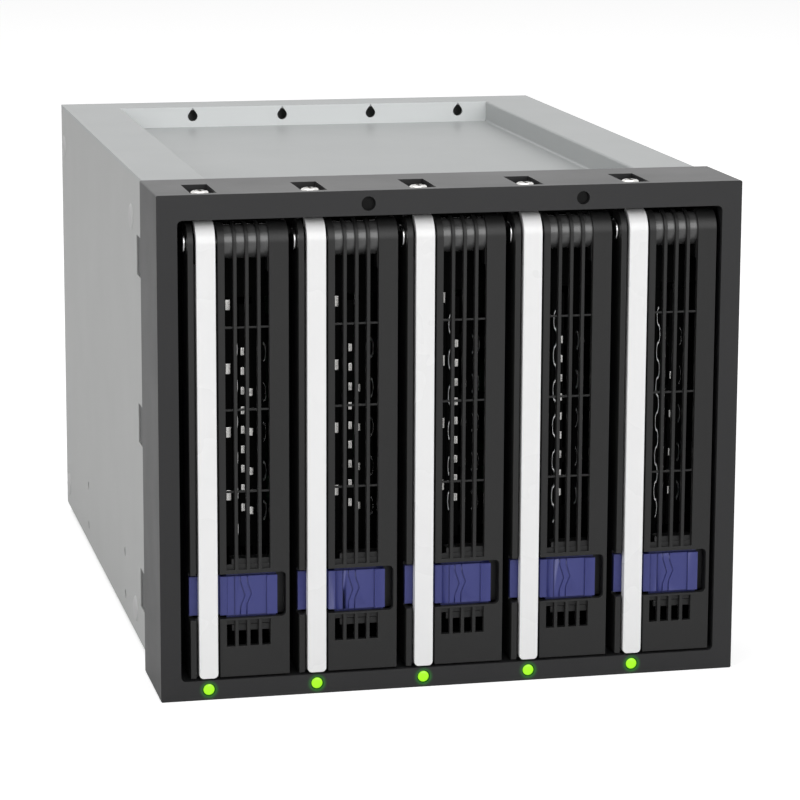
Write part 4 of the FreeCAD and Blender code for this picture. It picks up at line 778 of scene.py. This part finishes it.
# ------------------------------------------------------------------ one tray's front
@dataclass
class TrayFront:
    """The door, its handle strip, the latch and the spring of every tray."""

    door_edge: float = 0.22
    strip_edge: float = 0.4
    latch_edge: float = 0.16
    pin_edge: float = 0.15
    pad_left: float = -4.2
    pad_right: float = 8.0
    pad_front: float = -102.8
    pad_back: float = -100.9
    pad_low: float = 21.3
    pad_high: float = 31.2
    band_width: float = 1.8
    band_depth: float = 0.18
    band_over: float = 0.2
    line_width: float = 0.34
    line_depth: float = 0.3
    recess_left: float = 8.6
    recess_right: float = 12.4
    recess_low: float = 20.5
    recess_high: float = 32.0
    recess_front: float = -99.72
    recess_back: float = -99.54
    hinge_y: float = -98.4
    hinge_z: float = 115.0
    barrel_radius: float = 4.23
    slot_left: float = -2.7
    slot_width: float = 2.15
    slot_pitch: float = 2.97
    sleeve_gap: float = 0.02
    wire: float = 0.22
    spring_turns: int = 7
    spring_travel: float = 2.0

    def build(self) -> None:
        """Model each piece once, for the first tray, and copy it to the others."""
        door = soften(copy_of("tray_door_1", "door_lever_1"), self.door_edge)
        strip = soften(copy_of("handle_strip_1", "strip_bent_1"), self.strip_edge, 3)
        latch = self.model_latch()
        pin = soften(copy_of("hinge_pin_1", "pin_turned_1"), self.pin_edge)
        dress_trays(door, DOOR_BLACK, "door", "tray_door")
        dress_trays(strip, STRIP_WHITE, "door", "handle_strip")
        dress_trays(latch, LATCH_BLUE, "latch", "slide_latch")
        dress_trays(pin, PIN_STEEL, "tray", "hinge_pin")
        self.build_recess_floors()
        self.build_barrels()
        self.build_springs()

    def build_barrels(self) -> None:
        """Sleeve the hinge barrel where it shows between the door's ribs, in a paler, glossier copy of the
        door's black that paints a highlight on it.
        """
        column = tray_column(0) + self.slot_left
        length = self.slot_width - 2 * self.sleeve_gap
        sleeves = []
        for slot in range(AIR_SLOTS):
            foot = (column + slot * self.slot_pitch + self.sleeve_gap, self.hinge_y, self.hinge_z)
            sleeves.append(turned(f"sleeve_{slot}", foot, "X", self.barrel_radius, length, 42))
        dress_trays(smooth(join("barrel_sleeves_1", sleeves)), BARREL_PAINTED_HIGHLIGHT, "door")

    def build_recess_floors(self) -> None:
        """Close the recess behind each latch's right end with a thin floor on the door."""
        for tray in range(TRAYS):
            x = tray_column(tray)
            low = (x + self.recess_left, self.recess_front, self.recess_low)
            high = (x + self.recess_right, self.recess_back, self.recess_high)
            dress(block(f"recess_floor_{tray + 1}", low, high), DOOR_BLACK, f"door_{tray + 1}")

    def build_springs(self) -> None:
        """Wind one return spring and copy it behind each latch, where the latch squeezes it."""
        low, high = (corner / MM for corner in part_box("latch_spring_1"))
        radius = (high.z - low.z) / 2
        length = high.x - low.x
        axis = Vector((low.x, (low.y + high.y) / 2, (low.z + high.z) / 2))
        first = coil("spring_coiled_1", axis, radius, self.wire, length, self.spring_turns)
        springs = [first]
        for tray in range(1, TRAYS):
            springs.append(moved(first, f"spring_coiled_{tray + 1}", (tray * TRAY_PITCH, 0, 0)))
        for tray, spring in enumerate(springs):
            dress(spring, PIN_STEEL, f"door_{tray + 1}", f"latch_spring_{tray + 1}")
            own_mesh(spring)

    def model_latch(self) -> bpy.types.Object:
        """Fill the latch's pad level, sink its left band and cut a straight and two chevron lines.

        Returns:
            The first tray's latch.
        """
        latch = copy_of("slide_latch_1", "latch_moulded_1")
        left = tray_column(0) + self.pad_left
        rise = self.pad_high - self.pad_low
        filling = block("pad_filling", (left, self.pad_front, self.pad_low),
                        (tray_column(0) + self.pad_right, self.pad_back, self.pad_high))
        focus(latch)
        union = latch.modifiers.new("fill_pad", "BOOLEAN")
        union.operation = "UNION"
        union.solver = "EXACT"
        union.object = filling
        bpy.ops.object.modifier_apply(modifier=union.name)
        bpy.data.objects.remove(filling)
        over = self.band_over
        band = block("pad_band", (left - over, self.pad_front - over, self.pad_low - over),
                     (left + self.band_width, self.pad_front + self.band_depth, self.pad_high + over))
        carve(latch, [band])
        lines = [
            [(3.55, -0.02), (3.55, 1.02)],
            [(5.0, -0.02), (5.05, 0.2), (6.15, 0.5), (5.05, 0.85), (5.0, 1.02)],
            [(6.65, -0.02), (6.65, 0.26), (7.8, 0.54), (6.9, 0.8), (6.8, 1.02)],
        ]
        for line in lines:
            points = [(left + x, self.pad_low + share * rise) for x, share in line]
            legs = [groove("pad_line", start, end, self.pad_front, self.line_width, self.line_depth)
                    for start, end in zip(points, points[1:])]
            carve(latch, legs)
        return soften(latch, self.latch_edge)


def groove(name: str, start: tuple[float, float], end: tuple[float, float], front: float, width: float,
           depth: float) -> bpy.types.Object:
    """Make a block that cuts one straight leg of a groove into a face that looks forward.

    Args:
        name: The block's name.
        start: The leg's first end, along X and Z in millimetres.
        end: Its other end.
        front: Where the face lies along Y.
        width: The groove's width.
        depth: The groove's depth.

    Returns:
        The block.
    """
    across, up = end[0] - start[0], end[1] - start[1]
    middle = ((start[0] + end[0]) / 2 * MM, front * MM, (start[1] + end[1]) / 2 * MM)
    bpy.ops.object.select_all(action="DESELECT")
    bpy.ops.mesh.primitive_cube_add(size=1.0, location=middle, rotation=(0.0, math.atan2(across, up), 0.0))
    piece = named(name)
    piece.scale = (width * MM, 2 * depth * MM, (math.hypot(across, up) + width / 2) * MM)
    return settle(piece)


def coil(name: str, start: Vector, radius: float, wire: float, length: float, turns: int) -> bpy.types.Object:
    """Wind a coil spring along +X with the Screw modifier.

    Args:
        name: The spring's name.
        start: Where its axis starts, in millimetres.
        radius: Its outer radius.
        wire: The wire's radius.
        length: Its length.
        turns: How many turns it has.

    Returns:
        The spring.
    """
    bpy.ops.object.select_all(action="DESELECT")
    bpy.ops.mesh.primitive_circle_add(vertices=8, radius=wire * MM, rotation=(math.pi / 2, 0.0, 0.0))
    piece = settle(named(name))
    piece.data.transform(Matrix.Translation(Vector((wire, 0.0, radius - wire)) * MM))
    wound = piece.modifiers.new("turns", "SCREW")
    wound.axis = "X"
    wound.angle = 2 * math.pi
    wound.screw_offset = (length - 2 * wire) / turns * MM
    wound.iterations = turns
    wound.steps = wound.render_steps = 18
    focus(piece)
    bpy.ops.object.modifier_apply(modifier=wound.name)
    bpy.ops.object.mode_set(mode="EDIT")
    bpy.ops.mesh.select_all(action="SELECT")
    bpy.ops.mesh.fill_holes(sides=8)
    bpy.ops.mesh.select_all(action="SELECT")
    bpy.ops.mesh.normals_make_consistent(inside=False)
    bpy.ops.object.mode_set(mode="OBJECT")
    piece.data.transform(Matrix.Translation(start * MM))
    return smooth(piece)


# ------------------------------------------------------------------ shield strips on the sleds
@dataclass
class ShieldStrips:
    """The contact strips on each sled's front plate, seen through the door's slots.

    A column is given by its middle across the tray and then, as far as its method asks for them, half
    its width or its reach, half the height of one contact, the lowest contact's level, the pitch and
    the number of contacts.
    """

    plate_front: float = -90.8
    foot: float = 36.0
    head: float = 98.0
    carrier: float = 0.45
    pad_height: float = 0.35
    pad_edge: float = 0.12
    wire: float = 0.45
    first_arc: float = 0.9
    carrier_columns: tuple = ((-0.1, 0.8), (1.85, 0.7), (3.6, 0.75), (5.75, 0.7), (8.3, 1.25))
    pad_columns: tuple = (
        (-0.05, 0.65, 1.35, 49.3, 16.2, 4),
        (3.6, 0.5, 1.0, 46.0, 5.0, 9),
        (5.75, 0.55, 1.0, 45.1, 10.15, 4),
    )
    wave_column: Place = (1.85, 0.4, 2.3)
    arc_columns: tuple = ((7.6, 0.45, 2.2, 10.15), (8.75, 0.7, 2.3, 10.15))

    def build(self) -> None:
        """Model each strip once, for the first tray, and copy it to the others."""
        strips = [self.model_carrier(*column) for column in self.carrier_columns]
        carriers = join("strip_carriers_1", strips)
        contacts = [pad for column in self.pad_columns for pad in self.model_pads(*column)]
        pads = soften(join("contact_pads_1", contacts), self.pad_edge)
        rings = self.model_wave(*self.wave_column)
        for column in self.arc_columns:
            rings += self.model_arcs(*column)
        fingers = smooth(join("contact_fingers_1", rings))
        # The carriers take the sleds' black, darkened further as painted shade.
        dress_trays(carriers, SLED_BLACK_AND_SHADE, "tray")
        dress_trays(pads, NICKEL, "tray")
        dress_trays(fingers, FINGER_SATIN, "tray")

    def model_carrier(self, x: float, half: float) -> bpy.types.Object:
        """Model one upright carrier strip.

        Args:
            x: The strip's middle across the tray.
            half: Half its width.

        Returns:
            The strip.
        """
        column = tray_column(0) + x
        return block("carrier", (column - half, self.plate_front - self.carrier, self.foot),
                     (column + half, self.plate_front, self.head))

    def model_pads(self, x: float, half: float, rise: float, first: float, pitch: float,
                   count: int) -> list[bpy.types.Object]:
        """Model a column of contact pads.

        Args:
            x: The column's middle across the tray.
            half: Half a pad's width.
            rise: Half a pad's height.
            first: The lowest pad's level.
            pitch: The distance between pads.
            count: How many pads there are.

        Returns:
            The pads.
        """
        column = tray_column(0) + x
        back = self.plate_front - self.carrier
        front = back - self.pad_height
        levels = [first + step * pitch for step in range(count)]
        return [block("pad", (column - half, front, level - rise), (column + half, back, level + rise))
                for level in levels]

    def model_wave(self, x: float, reach: float, rise: float) -> list[bpy.types.Object]:
        """Model a wavy spring from half rings that bulge left and right in turn.

        Args:
            x: The spring's middle across the tray.
            reach: How far each bulge stands out.
            rise: Half the height of a bulge.

        Returns:
            The half rings.
        """
        rings = []
        level = self.foot + 2 * rise
        side = 1
        while level < self.head - 2 * rise:
            rings.append(self.half_ring(x, level, reach * side, rise))
            level += 2 * rise
            side = -side
        return rings

    def model_arcs(self, x: float, reach: float, rise: float, pitch: float) -> list[bpy.types.Object]:
        """Model a column of separate bowed fingers.

        Args:
            x: The column's middle across the tray.
            reach: How far each finger bows out to the right.
            rise: Half a finger's height.
            pitch: The distance between fingers.

        Returns:
            The fingers.
        """
        count = int((self.head - self.foot) / pitch) - 1
        levels = [self.foot + (step + self.first_arc) * pitch for step in range(count)]
        return [self.half_ring(x, level, reach, rise) for level in levels]

    def half_ring(self, x: float, level: float, reach: float, rise: float) -> bpy.types.Object:
        """Bend one half ring of flat wire that stands on the carrier.

        Args:
            x: Its middle across the tray.
            level: Its middle along Z.
            reach: How far it bulges to the right, or to the left where negative.
            rise: Half its height.

        Returns:
            The half ring.
        """
        bpy.ops.object.select_all(action="DESELECT")
        bpy.ops.mesh.primitive_torus_add(major_segments=24, minor_segments=6, major_radius=rise * MM,
                                         minor_radius=self.wire * MM, rotation=(math.pi / 2, 0.0, 0.0))
        piece = settle(named("half_ring"))
        focus(piece)
        bpy.ops.object.mode_set(mode="EDIT")
        bpy.ops.mesh.select_all(action="SELECT")
        bpy.ops.mesh.bisect(plane_co=(0, 0, 0), plane_no=(math.copysign(1.0, reach), 0, 0),
                            clear_inner=True, use_fill=True)
        bpy.ops.object.mode_set(mode="OBJECT")
        piece.scale = (abs(reach) / rise, 1.0, 1.0)
        front = self.plate_front - self.carrier - self.wire
        piece.location = Vector((tray_column(0) + x, front, level)) * MM
        return settle(piece)


# ------------------------------------------------------------------ what lies inside
@dataclass
class Interior:
    """The sleds, guides, socket board, ports and fan."""

    # Corners of the painted shade sheet behind the board's openings.
    shade_sheet_low: Place = (-71.9, 65.5, 2.2)
    shade_sheet_high: Place = (71.9, 65.8, 119.2)
    fan_edge: float = 0.3
    blade_angle: float = 35.0
    screw_height: float = 2.15
    screw_radius: float = 3.76
    screw_taper: float = 0.86
    screw_edge: float = 0.5
    cross_reach: float = 1.9
    cross_half: float = 0.45
    cross_depth: float = 1.2

    def build(self) -> None:
        """Dress the pieces inside the cage."""
        for tray in range(TRAYS):
            # The sleds' black, darkened further as painted shade.
            paint(f"tray_sled_{tray + 1}", SLED_BLACK_AND_SHADE)
            paint(f"tray_rails_{tray + 1}", RAIL_BLACK)
        for node, finish in (
            ("lower_guide", GUIDE_BLACK), ("upper_guide", GUIDE_BLACK), ("socket_board", BOARD_GREEN),
            ("drive_sockets", SOCKET_BLACK), ("data_ports", SOCKET_BLACK), ("power_ports", POWER_IVORY),
            ("board_brackets", ZINC), ("board_screws", NICKEL),
        ):
            paint(node, finish)
        # Painted shade: a near-black sheet behind the board, where the real cage has only shade.
        shade_sheet = block("board_gauze", self.shade_sheet_low, self.shade_sheet_high)
        dress(shade_sheet, SHADE_SHEET_BLACK, "cage")
        shroud = soften(copy_of("fan_frame", "fan_shroud"), self.fan_edge)
        dress(shroud, FAN_BLACK, "cage", "fan_frame")
        rotor = smooth(copy_of("fan_rotor", "rotor_bladed"), self.blade_angle)
        dress(rotor, FAN_BLACK, "rotor", "fan_rotor")
        self.build_fan_screws()

    def build_fan_screws(self) -> None:
        """Model one fan screw's head with a cross recess and copy it to each corner."""
        low, high = (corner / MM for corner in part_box("fan_screws"))
        radius = self.screw_radius
        tip = (low.x + radius, high.y, low.z + radius)
        foot = (tip[0], high.y - self.screw_height, tip[2])
        head = turned("fan_screw_1", foot, "Y", radius, self.screw_height, 40, radius * self.screw_taper)
        soften(head, self.screw_edge, 3)
        carve(head, cross_tools(tip, "Y", self.cross_reach, self.cross_half, self.cross_depth))
        across = high.x - low.x - 2 * radius
        up = high.z - low.z - 2 * radius
        for index, offset in enumerate(((across, 0, 0), (0, 0, up), (across, 0, up)), start=2):
            dress(moved(head, f"fan_screw_{index}", offset), NICKEL, "cage")
        dress(head, NICKEL, "cage", "fan_screws")


# ------------------------------------------------------------------ the studio
@dataclass
class Studio:
    """The floor, the soft lamps, the world and the camera.

    The camera's place is in millimetres and its angles are in degrees, and its focal length has the
    unit of the picture's width. The floor, the clips and the lamps are in metres and watts.
    """

    camera_place: Place = (-184.7, -865.2, 236.6)
    azimuth: float = -13.38
    elevation: float = 11.01
    roll: float = 0.37
    focal: float = 3197.6
    lens_shift: tuple[float, float] = (-0.05, -0.05)
    picture: float = 800.0
    sensor: float = 36.0
    clip_near: float = 0.01
    clip_far: float = 50.0
    floor_radius: float = 6.0
    floor_tone: float = 0.92
    floor_roughness: float = 0.9
    floor_lift: float = 0.55
    world_light: float = 0.34
    lamp_target: Place = (0.0, 0.0, 0.06)
    lamps: tuple = (
        ("lamp_left", (-1.5, -0.9, 1.1), 1.2, 12.0),
        ("lamp_front", (0.5, -2.0, 0.9), 1.4, 15.0),
        ("lamp_top", (0.0, 0.3, 1.9), 1.6, 9.0),
    )

    def build(self) -> None:
        """Set up the stage round the cage."""
        self.build_camera()
        self.build_floor()
        self.build_world()
        self.build_lamps()
        bpy.context.scene.view_settings.view_transform = "Standard"

    def build_camera(self) -> None:
        """Stand the camera at its place with its long lens and a small shift."""
        azimuth, elevation, roll = (math.radians(v) for v in (self.azimuth, self.elevation, self.roll))
        back = Vector((math.sin(azimuth) * math.cos(elevation), -math.cos(azimuth) * math.cos(elevation),
                       math.sin(elevation)))
        right = Vector((math.cos(azimuth), math.sin(azimuth), 0.0))
        up = back.cross(right)
        level_right = math.cos(roll) * right + math.sin(roll) * up
        level_up = back.cross(level_right)
        data = bpy.data.cameras.new("studio_camera")
        data.sensor_width = self.sensor
        data.lens = self.focal / self.picture * self.sensor
        data.shift_x, data.shift_y = self.lens_shift
        data.clip_start, data.clip_end = self.clip_near, self.clip_far
        camera = bpy.data.objects.new("studio_camera", data)
        bpy.context.scene.collection.objects.link(camera)
        turn = Matrix((level_right, level_up, back)).transposed().to_4x4()
        camera.matrix_world = Matrix.Translation(Vector(self.camera_place) * MM) @ turn
        bpy.context.scene.camera = camera

    def build_floor(self) -> None:
        """Lay a round pale floor, lifted towards white where the camera sees it."""
        bpy.ops.object.select_all(action="DESELECT")
        bpy.ops.mesh.primitive_circle_add(vertices=96, radius=self.floor_radius, fill_type="NGON")
        floor = named("studio_floor")
        made = bpy.data.materials.new("studio_floor_white")
        made.use_nodes = True
        tree = made.node_tree
        shader = tree.nodes["Principled BSDF"]
        shader.inputs["Base Color"].default_value = (self.floor_tone, self.floor_tone, self.floor_tone, 1.0)
        shader.inputs["Roughness"].default_value = self.floor_roughness
        shader.inputs["Specular IOR Level"].default_value = 0.0
        path = tree.nodes.new("ShaderNodeLightPath")
        shader.inputs["Emission Color"].default_value = WHITE
        lift = tree.nodes.new("ShaderNodeMath")
        lift.operation = "MULTIPLY"
        lift.inputs[1].default_value = self.floor_lift
        tree.links.new(path.outputs["Is Camera Ray"], lift.inputs[0])
        tree.links.new(lift.outputs[0], shader.inputs["Emission Strength"])
        floor.data.materials.append(made)

    def build_world(self) -> None:
        """Make the world white to the camera and to reflections, and softer as a light."""
        world = bpy.data.worlds.new("studio_world")
        bpy.context.scene.world = world
        world.use_nodes = True
        tree = world.node_tree
        sky = tree.nodes["Background"]
        sky.inputs["Color"].default_value = WHITE
        path = tree.nodes.new("ShaderNodeLightPath")
        seen = tree.nodes.new("ShaderNodeMath")
        seen.operation = "MAXIMUM"
        tree.links.new(path.outputs["Is Camera Ray"], seen.inputs[0])
        tree.links.new(path.outputs["Is Glossy Ray"], seen.inputs[1])
        clear = tree.nodes.new("ShaderNodeMath")
        clear.operation = "MAXIMUM"
        tree.links.new(seen.outputs[0], clear.inputs[0])
        tree.links.new(path.outputs["Is Transmission Ray"], clear.inputs[1])
        level = tree.nodes.new("ShaderNodeMapRange")
        level.inputs["To Min"].default_value = self.world_light
        level.inputs["To Max"].default_value = 1.0
        tree.links.new(clear.outputs[0], level.inputs["Value"])
        tree.links.new(level.outputs[0], sky.inputs["Strength"])

    def build_lamps(self) -> None:
        """Hang three large soft lamps."""
        for name, place, size, power in self.lamps:
            data = bpy.data.lights.new(name, "AREA")
            data.size = size
            data.energy = power
            lamp = bpy.data.objects.new(name, data)
            bpy.context.scene.collection.objects.link(lamp)
            lamp.location = place
            aim = Vector(self.lamp_target) - Vector(place)
            lamp.rotation_euler = aim.to_track_quat("-Z", "Y").to_euler()


def main() -> None:
    """Build the looks piece by piece, then the studio."""
    logging.basicConfig(level=logging.INFO, format="%(name)s: %(message)s")
    Bezel().build()
    Housing().build()
    TrayFront().build()
    ShieldStrips().build()
    Interior().build()
    Studio().build()


if __name__ == "__main__":
    main()
